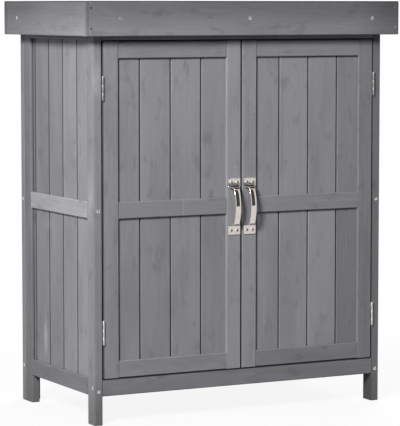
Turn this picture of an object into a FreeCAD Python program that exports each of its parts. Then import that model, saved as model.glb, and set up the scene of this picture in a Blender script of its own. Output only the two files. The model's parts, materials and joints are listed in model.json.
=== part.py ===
import FreeCAD, Part
import os
import re
from collections import namedtuple

import Sketcher
from FreeCAD import Placement, Rotation, Vector

# A garden storage cabinet in timber: framed and boarded sides, back and doors, short legs and a flat felted roof
# with a deep skirt. The origin is on the ground under the middle of the roof. X runs to the right, the doors face
# -Y and Z is up. All sizes are in millimetres.

SIZES = {
    # The case: four walls of framed boards, measured over the timber.
    "body_width": 688.5,
    "body_depth": 376.5,
    "body_height": 831.0,
    "leg_clearance": 60.5,
    # The frame timber, with its long edges eased.
    "stock_width": 35.0,
    "stock_thick": 18.0,
    "eased_edge": 1.5,
    # The boards in the frames, and the grooves that hold them.
    "board_thick": 9.0,
    "board_pitch": 71.4,
    "board_engage": 9.0,
    "panel_recess": 6.0,
    "groove_depth": 10.0,
    "groove_slack": 0.1,
    "joint_gap": 0.6,
    "joint_chamfer": 2.0,
    "tongue_thick": 3.0,
    "tongue_length": 5.0,
    "tongue_slack": 0.15,
    "side_first_board": 12.9,
    "back_first_board": 59.3,
    "door_first_board": 51.6,
    # The doors and the gaps round them.
    "hinge_gap": 2.6,
    "meeting_gap": 2.2,
    "door_gap_under": 1.8,
    "door_gap_over": 2.6,
    "door_proud": 0.5,
    # The butt hinges: two leaves rolled into knuckles round a pin.
    "hinge_height": 50.0,
    "hinge_inset": 96.0,
    "hinge_offset": 2.8,
    "leaf_thick": 1.0,
    "leaf_reach": 15.0,
    "barrel_radius": 2.3,
    "pin_radius": 1.2,
    "pin_clearance": 0.05,
    "knuckle_gap": 0.15,
    "hinge_screw_spacing": 30.0,
    "hinge_screw_head": 2.5,
    "hinge_screw_shank": 1.4,
    "hinge_screw_length": 12.0,
    # The pull handles: a strip with a flat plate at each end and a bowed grip between them.
    "handle_length": 120.0,
    "handle_plate_width": 29.0,
    "handle_plate_height": 18.0,
    "handle_plate_thick": 2.0,
    "handle_plate_corner": 2.0,
    "handle_grip_width": 13.5,
    "handle_grip_thick": 3.0,
    "handle_grip_edge": 1.0,
    "handle_neck_height": 5.0,
    "handle_standoff": 22.0,
    "handle_bow_radius": 95.0,
    "handle_drop": 1.9,
    "handle_screw_spacing": 14.0,
    "handle_screw_head": 3.1,
    "handle_screw_crown": 2.0,
    "handle_screw_rise": 1.6,
    "handle_screw_length": 16.0,
    # The countersunk screws through the frames and the fascia boards.
    "screw_head": 3.5,
    "screw_proud": 0.4,
    "screw_shank": 1.75,
    "screw_tip": 0.6,
    "screw_clearance": 0.1,
    "frame_screw_length": 52.0,
    "frame_screw_set": 12.0,
    "frame_screw_step": 7.0,
    "back_screw_length": 40.0,
    "back_screw_end": 170.0,
    "fascia_screw_length": 34.0,
    "fascia_screw_left": 296.0,
    "fascia_screw_middle": 4.0,
    "fascia_screw_right": 304.0,
    "fascia_screw_front": 78.0,
    "fascia_screw_back": 69.0,
    # The roof: fascia boards round a flat frame, bearers, deck boards and felt.
    "overhang_side": 27.75,
    "overhang_front": 29.0,
    "overhang_back": 22.5,
    "fascia_height": 70.0,
    "fascia_thick": 18.0,
    "skirt_drop": 27.0,
    "deck_thick": 12.0,
    "deck_board_width": 78.0,
    "felt_thick": 2.0,
    # The floor, the shelf and what the doors close against.
    "floor_thick": 12.0,
    "floor_board_width": 67.0,
    "shelf_thick": 12.0,
    "shelf_board_width": 79.0,
    "shelf_set_back": 20.0,
    "plank_gap": 1.0,
    "stop_drop": 18.0,
    "catch_width": 46.0,
    "catch_depth": 15.0,
    "catch_height": 14.0,
    "catch_inset": 45.0,
    "catch_play": 0.3,
    "pole_width": 3.0,
    "pole_proud": 0.2,
    "strike_width": 40.0,
    "strike_height": 12.0,
    "strike_thick": 1.2,
}

LAYOUT = {
    # Faces of the case.
    "half_width": "body_width / 2",
    "inner_half": "half_width - stock_thick",
    "front_face": "(overhang_front - overhang_back - body_depth) / 2",
    "back_face": "front_face + body_depth",
    "inner_back": "back_face - stock_thick",
    "inner_front": "front_face + stock_thick",
    "side_width": "inner_back - front_face",
    "side_opening": "side_width - 2 * stock_width",
    "back_opening": "body_width - 2 * stock_width",
    "frame_rise": "(body_height - leg_clearance - 3 * stock_width) / 2",
    "floor_level": "leg_clearance + stock_width",
    "shelf_level": "leg_clearance + 2 * stock_width + frame_rise",
    "top_rail_under": "body_height - stock_width",
    # Grooves, tenons and tongues, measured through the timber from its outer face.
    "groove_near": "panel_recess - groove_slack",
    "groove_far": "panel_recess + board_thick + groove_slack",
    "tenon_length": "groove_depth - groove_slack",
    "half_joint": "joint_gap / 2",
    "tongue_near": "(board_thick - tongue_thick) / 2",
    "tongue_far": "tongue_near + tongue_thick",
    # The doors: the left one is measured, the right one is its mirror image.
    "door_left": "hinge_gap - inner_half",
    "door_width": "inner_half - hinge_gap - meeting_gap / 2",
    "door_opening": "door_width - 2 * stock_width",
    "door_under": "floor_level + door_gap_under",
    "door_height": "top_rail_under - door_gap_over - door_under",
    "door_rise": "(door_height - 3 * stock_width) / 2",
    "door_face": "front_face - door_proud",
    "door_back": "door_face + stock_thick",
    # Hinges.
    "hinge_x": "hinge_gap / 2 - inner_half",
    "hinge_y": "front_face - hinge_offset",
    "hinge_low": "door_under + hinge_inset",
    "hinge_high": "door_under + door_height - hinge_inset",
    "bore_radius": "pin_radius + pin_clearance",
    "knuckle_height": "hinge_height / 3",
    "leaf_screw_y": "hinge_offset + leaf_reach / 2 + stock_thick / 12",
    # Handles.
    "handle_x": "-(meeting_gap + stock_width) / 2",
    "handle_z": "door_under + door_height / 2 - handle_drop",
    "handle_end": "handle_length / 2",
    "handle_foot": "handle_end - handle_plate_height",
    "handle_bow": "handle_foot - handle_neck_height",
    "bow_inner_radius": "handle_bow_radius - handle_grip_thick",
    "bow_centre": "handle_bow_radius - handle_standoff",
    "bow_outer_end": "bow_centre - sqrt(handle_bow_radius ^ 2 - handle_bow ^ 2)",
    "bow_inner_half": "handle_bow - handle_grip_thick",
    "bow_inner_end": "bow_centre - sqrt(bow_inner_radius ^ 2 - bow_inner_half ^ 2)",
    "handle_screw_z": "handle_end - handle_plate_height / 2",
    # Heights of the frame screws.
    "frame_screw_head": "top_rail_under + stock_width / 2",
    "frame_screw_middle": "shelf_level - stock_width / 2",
    "frame_screw_foot": "floor_level - stock_width / 2",
    # Roof.
    "roof_length": "body_width + 2 * overhang_side",
    "roof_depth": "body_depth + overhang_front + overhang_back",
    "roof_front": "front_face - overhang_front",
    "roof_back": "back_face + overhang_back",
    "deck_half": "roof_length / 2 - fascia_thick",
    "deck_front": "roof_front + fascia_thick",
    "deck_back": "roof_back - fascia_thick",
    "deck_depth": "deck_back - deck_front",
    "fascia_under": "body_height - skirt_drop",
    "fascia_top": "fascia_under + fascia_height",
    "ring_top": "body_height + stock_thick",
    "ring_screw_z": "body_height + stock_thick / 2",
    "deck_under": "fascia_top - deck_thick",
    "bearer_height": "deck_under - ring_top",
    # Floor, shelf and door stop.
    "floor_depth": "inner_back - inner_front",
    "shelf_front": "inner_front + shelf_set_back",
    "shelf_depth": "inner_back - shelf_front",
    "plank_length": "2 * inner_half - plank_gap",
    "stop_under": "top_rail_under - stop_drop",
    "catch_front": "door_back + strike_thick + catch_play",
    "strike_z": "stop_under - catch_height / 2",
}

TURNED = {
    0: ("{x} + ({along})", "{y} + ({inward})"),
    -90: ("{x} + ({inward})", "{y} - ({along})"),
    180: ("{x} - ({along})", "{y} - ({inward})"),
}
FACING = {"front": 180, "left": 90, "back": 0, "right": -90}
PLANES = {"X": "YZ_Plane", "Y": "XZ_Plane", "Z": "XY_Plane"}
SHEETS = {**{alias: "Sizes" for alias in SIZES}, **{alias: "Layout" for alias in LAYOUT}}

# A wall or door as seen from outside: the place of its lower left corner, and its turn about Z.
Panel = namedtuple("Panel", "x y z turn")

# Screws and their holes are small, so they have flat sides, this many, in place of round ones.
SCREW_SIDES = 6

doc = FreeCAD.newDocument("GardenCabinet")
kept = []


def bind(formula):
    """Write each name in a formula as the sheet and the cell that hold it."""
    return re.sub(r"[a-z]+_[a-z_]+", lambda name: f"{SHEETS[name[0]]}.{name[0]}", formula)


def fill_sheet(name, rows):
    sheet = doc.addObject("Spreadsheet::Sheet", name)
    for row, (alias, content) in enumerate(rows.items(), start=1):
        sheet.set(f"A{row}", content)
        sheet.setAlias(f"A{row}", alias)
    doc.recompute()
    return sheet


def number(alias):
    """Read a named value, for a count or a first guess."""
    return float(getattr(doc.getObject(SHEETS[alias]), alias))


def keep(piece, label):
    """Name a finished piece, so that it is written out."""
    piece.Label = label
    kept.append(piece)
    return piece


def place(piece, x, y, z, turn=0):
    piece.Placement = Placement(Vector(), Rotation(Vector(0, 0, 1), turn))
    for axis, formula in zip("xyz", (x, y, z)):
        piece.setExpression(f"Placement.Base.{axis}", bind(formula))
    return piece


def put(piece, panel, along, up="0", inward="0"):
    """Place a piece in a wall: along to the right as seen from outside, and inward through the wall."""
    x, y = (form.format(x=panel.x, y=panel.y, along=along, inward=inward) for form in TURNED[panel.turn])
    return place(piece, x, y, f"{panel.z} + ({up})", panel.turn)


def rectangle(left, low, right, high):
    return [(left, low), (right, low), (right, high), (left, high)]


def draw_outline(sketch, corners, arcs=None):
    """Draw a closed outline through corners given as formulas; arcs maps a side to its radius and hand."""
    arcs = arcs or {}
    count = len(corners)
    sides = {}
    for side in range(count):
        if side not in arcs:
            ends = Vector(side, side * side, 0), Vector(side + 1, (side + 1) ** 2, 0)
            sides[side] = sketch.addGeometry(Part.LineSegment(*ends))
    for side, line in sides.items():
        following = (side + 1) % count
        if following in sides:
            sketch.addConstraint(Sketcher.Constraint("Coincident", line, 2, sides[following], 1))
    for corner, formulas in enumerate(corners):
        line, end = (sides[corner], 1) if corner in sides else (sides[(corner - 1) % count], 2)
        for kind, formula in zip(("DistanceX", "DistanceY"), formulas):
            constraint = sketch.addConstraint(Sketcher.Constraint(kind, -1, 1, line, end, 1.0))
            sketch.setExpression(f"Constraints[{constraint}]", bind(formula))
    doc.recompute()
    for side, (radius, hand) in arcs.items():
        before, after = sides[(side - 1) % count], sides[(side + 1) % count]
        start, end = sketch.getPoint(before, 2), sketch.getPoint(after, 1)
        chord = end - start
        rise = number(radius) - (number(radius) ** 2 - (chord.Length / 2) ** 2) ** 0.5
        middle = (start + end) / 2 + Vector(chord.y, -chord.x, 0).normalize() * rise * hand
        ends = (start, end) if hand > 0 else (end, start)
        arc = sketch.addGeometry(Part.Arc(ends[0], middle, ends[1]))
        first, last = (1, 2) if hand > 0 else (2, 1)
        sketch.addConstraint(Sketcher.Constraint("Coincident", before, 2, arc, first))
        sketch.addConstraint(Sketcher.Constraint("Coincident", after, 1, arc, last))
        constraint = sketch.addConstraint(Sketcher.Constraint("Radius", arc, number(radius)))
        sketch.setExpression(f"Constraints[{constraint}]", bind(radius))


def free_sketch(name, corners, arcs=None):
    sketch = doc.addObject("Sketcher::SketchObject", f"{name}_outline")
    draw_outline(sketch, corners, arcs)
    return sketch


def sketch_in(body, axis, corners, offset="0", arcs=None):
    """Draw an outline in a body's own plane square to an axis, moved along that axis by offset."""
    sketch = body.newObject("Sketcher::SketchObject", f"{body.Label}_outline")
    plane = next(feature for feature in body.Origin.OriginFeatures if feature.Role == PLANES[axis])
    sketch.AttachmentSupport = [(plane, "")]
    sketch.MapMode = "FlatFace"
    sketch.setExpression("AttachmentOffset.Base.z", bind(offset))
    draw_outline(sketch, corners, arcs)
    return sketch


def new_body(label):
    body = doc.addObject("PartDesign::Body", label)
    body.Label = label
    return body


def pad(body, sketch, length, side="One side", backwards=False):
    feature = body.newObject("PartDesign::Pad", f"{body.Label}_pad")
    feature.Profile = sketch
    feature.SideType = side
    feature.Reversed = backwards
    feature.setExpression("Length", bind(length))
    doc.recompute()
    return feature


def pocket(body, sketch, side="One side", backwards=True):
    """Cut an outline right through, and make sure that it took timber or metal away."""
    before = body.Shape.Volume
    feature = body.newObject("PartDesign::Pocket", f"{body.Label}_pocket")
    feature.Profile = sketch
    feature.Type = "ThroughAll"
    feature.SideType = side
    feature.Reversed = backwards
    doc.recompute()
    if body.Shape.Volume >= before:
        raise RuntimeError(f"{feature.Name} cuts nothing")
    return feature


def corner_edges(shape, axis):
    """List the straight edges that run along an axis at the corners of a shape's box."""
    box = shape.BoundBox
    limits = {"X": (box.XMin, box.XMax), "Y": (box.YMin, box.YMax), "Z": (box.ZMin, box.ZMax)}
    across = [other for other in "XYZ" if other != axis]
    edges = []
    for index, edge in enumerate(shape.Edges, start=1):
        middle = {"X": edge.CenterOfMass.x, "Y": edge.CenterOfMass.y, "Z": edge.CenterOfMass.z}
        if all(min(abs(middle[other] - limit) for limit in limits[other]) < 1e-6 for other in across):
            edges.append(f"Edge{index}")
    return edges


def ease(body, blank, axis):
    """Take the arris off the long edges of a piece of timber."""
    feature = body.newObject("PartDesign::Chamfer", f"{body.Label}_eased")
    feature.Base = (blank, corner_edges(blank.Shape, axis))
    feature.setExpression("Size", bind("eased_edge"))
    doc.recompute()


def bar(label, size, corner, axis):
    """Make a straight planed bar along an axis, from its size and its lowest corner."""
    outline = rectangle("0", "0", *[size["XYZ".index(other)] for other in "XYZ" if other != axis])
    body = new_body(label)
    blank = pad(body, sketch_in(body, axis, outline), size["XYZ".index(axis)], backwards=axis == "Y")
    ease(body, blank, axis)
    return place(body, *corner)


def block(name, size, corner):
    box = doc.addObject("Part::Box", name)
    for side, formula in zip(("Length", "Width", "Height"), size):
        box.setExpression(side, bind(formula))
    return place(box, *corner)


def group(label, members):
    compound = doc.addObject("Part::Compound", label)
    compound.Links = members
    return compound


def joined(name, members):
    union = doc.addObject("Part::MultiFuse", name)
    union.Shapes = members
    return union


def mirrored(source, name):
    """Make the right-hand twin of a left-hand piece."""
    twin = doc.addObject("Part::Mirroring", name)
    twin.Source = source
    twin.Normal = Vector(1, 0, 0)
    return twin


def copy_at(master, name, x, y, z, turn=0):
    link = doc.addObject("App::Link", name)
    link.LinkedObject = master
    return place(link, x, y, z, turn)


def whole_count(span, pitch):
    """Count the pieces of about one pitch that fill a span."""
    return max(1, round(number(span) / number(pitch)))


# Framed and boarded walls.
# Each wall is two grooved stiles, three grooved rails with stub tenons, and two rows of tongued boards.


def stile(label, panel, along, length, groove_on, groove_from):
    body = new_body(label)
    outline = rectangle("0", "0", "stock_width", "stock_thick")
    ease(body, pad(body, sketch_in(body, "Z", outline), length), "Z")
    sides = {"left": ("0", "groove_depth"), "right": ("stock_width - groove_depth", "stock_width")}
    near, far = sides[groove_on]
    pocket(body, sketch_in(body, "Z", rectangle(near, "groove_near", far, "groove_far"), groove_from))
    return keep(put(body, panel, along), label)


def rail(label, panel, up, span, grooves):
    """Make a rail whose grooves lie in its 'low' edge, its 'high' edge or both, with a tenon at each end."""
    low, high = "low" in grooves, "high" in grooves
    floor = [("groove_near", "0"), ("groove_near", "groove_depth")] * low
    floor += [("groove_far", "groove_depth"), ("groove_far", "0")] * low
    roof = [("groove_far", "stock_width"), ("groove_far", "stock_width - groove_depth")] * high
    roof += [("groove_near", "stock_width - groove_depth"), ("groove_near", "stock_width")] * high
    outline = [("0", "0"), *floor, ("stock_thick", "0")]
    outline += [("stock_thick", "stock_width"), *roof, ("0", "stock_width")]
    body = new_body(label)
    ease(body, pad(body, sketch_in(body, "X", outline), span), "X")
    bottom = "groove_depth" if low else "0"
    top = "stock_width - groove_depth" if high else "stock_width"
    core = rectangle("panel_recess", bottom, "panel_recess + board_thick", top)
    pad(body, sketch_in(body, "X", core, "-tenon_length"), f"{span} + 2 * tenon_length")
    return keep(put(body, panel, "stock_width", up), label)


def board_outline(width, jointed_left, jointed_right):
    """Outline a board in plan: its outer face is at y = 0, and a plain edge goes into a stile's groove."""
    left = [("0", "board_thick"), ("0", "0")]
    right = [(width, "0"), (width, "board_thick")]
    if jointed_left:
        bottom = "half_joint + tongue_length + tongue_slack"
        left = [
            ("half_joint", "board_thick"),
            ("half_joint", "tongue_far + tongue_slack"),
            (bottom, "tongue_far + tongue_slack"),
            (bottom, "tongue_near - tongue_slack"),
            ("half_joint", "tongue_near - tongue_slack"),
            ("half_joint", "joint_chamfer"),
            ("half_joint + joint_chamfer", "0"),
        ]
    if jointed_right:
        edge = f"{width} - half_joint"
        right = [
            (f"{edge} - joint_chamfer", "0"),
            (edge, "joint_chamfer"),
            (edge, "tongue_near"),
            (f"{edge} + tongue_length", "tongue_near"),
            (f"{edge} + tongue_length", "tongue_far"),
            (edge, "tongue_far"),
            (edge, "board_thick"),
        ]
    return right + left


def tongued_boards(label, panel, opening, first, rise, rows):
    """Fill both openings of a wall with boards: joints lie one pitch apart, after a first board cut to fit."""
    least_strip = number("joint_chamfer") + number("tongue_length")
    joints = 1 + int((number(opening) - number(first) - least_strip) // number("board_pitch"))
    marks = ["-board_engage", *[f"{first} + {index} * board_pitch" for index in range(joints)]]
    marks.append(f"{opening} + board_engage")
    middle = None
    boards = []
    for index in range(joints + 1):
        inner = 0 < index < joints
        if inner and middle is not None:
            profile = middle
        else:
            width = "board_pitch" if inner else f"({marks[index + 1]} - ({marks[index]}))"
            profile = free_sketch(f"{label}_{index}", board_outline(width, index > 0, index < joints))
        middle = profile if inner else middle
        for row, up in enumerate(rows):
            board = doc.addObject("Part::Extrusion", f"{label}_{index}_{row}")
            board.Base = profile
            board.DirMode = "Custom"
            board.Dir = Vector(0, 0, 1)
            board.Solid = True
            board.setExpression("LengthFwd", bind(f"{rise} + 2 * board_engage"))
            boards.append(put(board, panel, f"stock_width + {marks[index]}", up, "panel_recess"))
    return keep(group(label, boards), label)


def framed_wall(name, panel, stiles, width, height, leg, opening, first, rise):
    """Build a wall; stiles names the left and the right one as seen from outside."""
    near = stile(f"{name}_{stiles[0]}", panel, "0", height, "right", leg)
    far = stile(f"{name}_{stiles[1]}", panel, f"{width} - stock_width", height, "left", leg)
    bottom = rail(f"{name}_bottom_rail", panel, leg, opening, ["high"])
    middle = rail(f"{name}_mid_rail", panel, f"{leg} + stock_width + {rise}", opening, ["low", "high"])
    top = rail(f"{name}_top_rail", panel, f"{height} - stock_width", opening, ["low"])
    rows = [f"{leg} + stock_width - board_engage", f"{leg} + 2 * stock_width + {rise} - board_engage"]
    boards = tongued_boards(f"{name}_boards", panel, opening, first, rise, rows)
    return [near, far, bottom, middle, top, boards]


def right_hand(pieces):
    """Mirror left-hand pieces, under the same names with right in place of left."""
    for piece in pieces:
        label = piece.Label.replace("left", "right", 1)
        keep(mirrored(piece, label), label)


# Screws point along -Y, from the face that they are driven into at y = 0. They are light flat-sided solids.


def lofted(name, rings):
    """Loft a small piece through rings, each a radius and a place along Y."""
    sections = []
    for index, (radius, along) in enumerate(rings):
        ring = doc.addObject("Part::RegularPolygon", f"{name}_ring_{index}")
        ring.Polygon = SCREW_SIDES
        ring.setExpression("Circumradius", bind(radius))
        ring.Placement = Placement(Vector(), Rotation(Vector(1, 0, 0), 90))
        ring.setExpression("Placement.Base.y", bind(along))
        sections.append(ring)
    piece = doc.addObject("Part::Loft", name)
    piece.Sections = sections
    piece.Solid = True
    piece.Ruled = True
    return piece


def sunk_screw(name, head, shank, length, proud, cone):
    """Make a countersunk screw, whose head narrows to the shank over the depth of its cone."""
    return lofted(name, [(head, proud), (shank, f"{proud} - ({cone})"), ("screw_tip", f"-{length}")])


def pan_screw(name, head, crown, rise, shank, length):
    top = lofted(f"{name}_head", [(crown, rise), (head, "0")])
    return joined(name, [top, lofted(f"{name}_shank", [(shank, "0"), ("screw_tip", f"-{length}")])])


def frame_screws():
    """Screws through the stiles into the rails' ends, and through the back frame into the side frames."""
    left, right = "-half_width", "half_width"
    on_edge = "half_width - stock_thick / 2"
    cone = "screw_head - screw_shank"
    long = sunk_screw("frame_screw", "screw_head", "screw_shank", "frame_screw_length", "screw_proud", cone)
    short = sunk_screw("back_screw", "screw_head", "screw_shank", "back_screw_length", "screw_proud", cone)
    places = []
    for z in ("frame_screw_foot - frame_screw_step", "frame_screw_middle", "frame_screw_head + frame_screw_step"):
        places += [(long, f"-({on_edge})", "front_face", z, "front"), (long, on_edge, "front_face", z, "front")]
    for z in ("frame_screw_foot", "frame_screw_middle", "frame_screw_head"):
        y = "inner_back + stock_thick / 2"
        places += [(long, left, y, z, "left"), (long, right, y, z, "right")]
    for z in ("frame_screw_foot", "frame_screw_head"):
        y = "front_face + frame_screw_set"
        places += [(long, left, y, z, "left"), (long, right, y, z, "right")]
    for z in ("back_screw_end", "body_height - back_screw_end"):
        places += [(short, f"-({on_edge})", "back_face", z, "back"), (short, on_edge, "back_face", z, "back")]
    screws = [
        copy_at(master, f"frame_screw_{index}", x, y, z, FACING[side])
        for index, (master, x, y, z, side) in enumerate(places)
    ]
    keep(group("frame_screws", screws), "frame_screws")


def fascia_screws():
    master = sunk_screw("fascia_screw", "screw_head", "screw_shank", "fascia_screw_length", "screw_proud",
                        "screw_head - screw_shank")
    across = ["-fascia_screw_left", "fascia_screw_middle", "fascia_screw_right"]
    places = [(x, "roof_front", "front") for x in across] + [(x, "roof_back", "back") for x in across]
    for y in ("roof_front + fascia_screw_front", "roof_back - fascia_screw_back"):
        places += [("-roof_length / 2", y, "left"), ("roof_length / 2", y, "right")]
    screws = [
        copy_at(master, f"fascia_screw_{index}", x, y, "ring_screw_z", FACING[side])
        for index, (x, y, side) in enumerate(places)
    ]
    keep(group("fascia_screws", screws), "fascia_screws")


# Hinges. A leaf is drawn about the hinge's own axis, and its knuckles take turns with the other leaf's.


def upright(name, radius, low, height):
    cylinder = doc.addObject("Part::Cylinder", name)
    cylinder.setExpression("Radius", bind(radius))
    cylinder.setExpression("Height", bind(height))
    return place(cylinder, "0", "0", low)


def hinge_leaf(name, near_x, head_x, turn, knuckles):
    """Roll one leaf: near_x is its lower x, and its screws' heads lie at head_x, turned to face the gap."""
    plate_size = ("leaf_thick", "hinge_offset + leaf_reach - bore_radius", "hinge_height")
    solid = [block(f"{name}_plate", plate_size, (near_x, "bore_radius", "-hinge_height / 2"))]
    tools = [upright(f"{name}_bore", "bore_radius", "-hinge_height", "2 * hinge_height")]
    for index in range(3):
        low = f"{index} * knuckle_height - hinge_height / 2"
        if index in knuckles:
            start = f"{low} + knuckle_gap" if index else low
            ends = 2 if index == 1 else 1
            height = f"knuckle_height - {ends} * knuckle_gap"
            solid.append(upright(f"{name}_knuckle_{index}", "barrel_radius", start, height))
        else:
            room = "barrel_radius + 2 * knuckle_gap"
            notch = (f"2 * ({room})", f"2 * ({room})", "knuckle_height")
            tools.append(block(f"{name}_notch_{index}", notch, (f"-({room})", f"-({room})", low)))
    head, shank = (f"{size} + screw_clearance" for size in ("hinge_screw_head", "hinge_screw_shank"))
    rings = [(head, "0"), (shank, "-leaf_thick")]
    for sign in "-+":
        hole = lofted(f"{name}_hole_{sign == '+'}", rings)
        tools.append(place(hole, head_x, "leaf_screw_y", f"{sign}hinge_screw_spacing / 2", turn))
    leaf = doc.addObject("Part::Cut", name)
    leaf.Base = joined(f"{name}_solid", solid)
    leaf.Tool = joined(f"{name}_tools", tools)
    return leaf


def on_hinges(master, name):
    """Put a hinge piece on the left door's lower and upper hinge."""
    return [copy_at(master, f"{name}_{z}", "hinge_x", "hinge_y", z) for z in ("hinge_low", "hinge_high")]


def leaf_screws(master, name, x, turn):
    y = "hinge_y + leaf_screw_y"
    return [
        copy_at(master, f"{name}_{z}{sign == '+'}", x, y, f"{z} {sign} hinge_screw_spacing / 2", turn)
        for z in ("hinge_low", "hinge_high")
        for sign in "-+"
    ]


def both_hands(members, label):
    """Keep a group of left-hand pieces together with their right-hand twins."""
    left = group(f"{label}_left", members)
    keep(group(label, [left, mirrored(left, f"{label}_right")]), label)


# Handles.


def at_handle_screws(master, name, x, y, z):
    """Put a copy at each of a handle's four screws, from the handle's own centre."""
    return [
        copy_at(master, f"{name}_{row == '+'}_{side == '+'}", f"{x} {side} handle_screw_spacing / 2", y,
                f"{z} {row} handle_screw_z", FACING["front"])
        for row in "-+"
        for side in "-+"
    ]


def handle(label):
    """Form a handle from strip: a side view padded across, then blanked to a narrow grip, drilled and eased."""
    body = new_body(f"{label}_blank")
    plate, inner = "-handle_plate_thick", "handle_foot - handle_plate_thick - groove_slack"
    half = [("0", inner), ("0", "handle_end"), (plate, "handle_end"), (plate, "handle_foot")]
    upper = [("bow_inner_end", "bow_inner_half"), *half, ("bow_outer_end", "handle_bow")]
    lower = [(y, f"-({z})") for y, z in reversed(upper)]
    arcs = {5: ("handle_bow_radius", 1), 11: ("bow_inner_radius", -1)}
    blank = pad(body, sketch_in(body, "X", upper + lower, arcs=arcs), "handle_plate_width", "Symmetric")
    grip, edge = "handle_grip_width / 2", "handle_plate_width / 2 + handle_plate_thick"
    shoulder = "handle_bow - handle_plate_thick / 2"
    for side in ("", "-"):
        waste = [(grip, f"-({shoulder})"), ("handle_plate_width / 2", "-handle_foot"), (edge, "-handle_foot")]
        waste += [(x, f"-({z})") for x, z in reversed(waste)]
        blank = pocket(body, sketch_in(body, "Y", [(f"{side}({x})", z) for x, z in waste]), "Symmetric")
    rounded = body.newObject("PartDesign::Fillet", f"{label}_corners")
    rounded.Base = (blank, corner_edges(blank.Shape, "Y"))
    rounded.setExpression("Radius", bind("handle_plate_corner"))
    doc.recompute()
    radius = number("handle_bow_radius")
    crown = [
        f"Edge{index}"
        for index, edge in enumerate(rounded.Shape.Edges, start=1)
        if isinstance(edge.Curve, Part.Circle) and abs(edge.Curve.Radius - radius) < 1e-6
    ]
    eased = body.newObject("PartDesign::Chamfer", f"{label}_eased")
    eased.Base = (rounded, crown)
    eased.setExpression("Size", bind("handle_grip_edge"))
    doc.recompute()
    radius = "screw_shank + screw_clearance"
    hole = lofted(f"{label}_hole", [(radius, "0"), (radius, "-handle_plate_thick")])
    drilled = doc.addObject("Part::Cut", label)
    drilled.Base = body
    holes = at_handle_screws(hole, f"{label}_hole", "0", "-handle_plate_thick", "0")
    drilled.Tool = joined(f"{label}_holes", holes)
    return keep(place(drilled, "handle_x", "door_face", "handle_z"), label)


# The whole cabinet.


def case():
    side = Panel("-half_width", "inner_back", "0", -90)
    pieces = framed_wall("left", side, ("rear_stile", "front_stile"), "side_width", "body_height",
                         "leg_clearance", "side_opening", "side_first_board", "frame_rise")
    right_hand(pieces)
    back = Panel("half_width", "back_face", "0", 180)
    framed_wall("back", back, ("right_stile", "left_stile"), "body_width", "body_height",
                "leg_clearance", "back_opening", "back_first_board", "frame_rise")
    for label, z in (("front_bottom_rail", "leg_clearance"), ("front_top_rail", "top_rail_under")):
        size = ("2 * inner_half", "stock_thick", "stock_width")
        keep(bar(label, size, ("-inner_half", "front_face", z), "X"), label)


def planks(label, count, size, corner, spare):
    """Lay planks side by side from front to back; spare is the depth that they share."""
    width = f"(({spare} + plank_gap) / {count} - plank_gap)"
    x, y, z = corner
    boards = [
        bar(f"{label}_{index}", (size[0], width, size[1]), (x, f"{y} + {index} * ({width} + plank_gap)", z), "X")
        for index in range(count)
    ]
    return keep(group(label, boards), label)


def inside():
    beam = ("stock_thick", "floor_depth", "stock_width")
    left = ("-inner_half", "inner_front", "leg_clearance")
    centre = ("-stock_thick / 2", "inner_front", "leg_clearance")
    right = ("inner_half - stock_thick", "inner_front", "leg_clearance")
    corners = (left, centre, right)
    bearers = [bar(f"floor_bearer_{index}", beam, corner, "Y") for index, corner in enumerate(corners)]
    keep(group("floor_bearers", bearers), "floor_bearers")
    start = "plank_gap / 2 - inner_half"
    planks("floor_boards", whole_count("floor_depth", "floor_board_width"), ("plank_length", "floor_thick"),
           (start, "inner_front", "floor_level"), "floor_depth")
    cleat = ("stock_thick", "shelf_depth", "stock_width")
    under = "shelf_level - stock_width"
    side = bar("shelf_cleat_left", cleat, ("-inner_half", "shelf_front", under), "Y")
    rear_size = ("2 * inner_half - 2 * stock_thick", "stock_thick", "stock_width")
    rear = bar("shelf_cleat_back", rear_size, ("stock_thick - inner_half", "inner_back - stock_thick", under), "X")
    keep(group("shelf_cleats", [side, mirrored(side, "shelf_cleat_right"), rear]), "shelf_cleats")
    planks("shelf_boards", whole_count("shelf_depth", "shelf_board_width"), ("plank_length", "shelf_thick"),
           (start, "shelf_front", "shelf_level"), "shelf_depth")


def door_stop():
    """The batten that the doors close against, with a magnetic catch under it for each door."""
    size = ("2 * inner_half", "stock_thick", "stock_width")
    keep(bar("door_stop", size, ("-inner_half", "inner_front", "stop_under"), "X"), "door_stop")
    left = "-catch_inset - catch_width / 2"
    case_size = ("catch_width", "catch_depth", "catch_height")
    solid = [block("catch_case", case_size, (left, "catch_front", "stop_under - catch_height"))]
    for index in (1, 2):
        x = f"{left} + {index} * catch_width / 3 - pole_width / 2"
        pole = ("pole_width", "catch_depth / 2", "strike_height")
        y = "catch_front - pole_proud"
        solid.append(block(f"catch_pole_{index}", pole, (x, y, "strike_z - strike_height / 2")))
    both_hands([joined("catch", solid)], "magnetic_catches")


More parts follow.
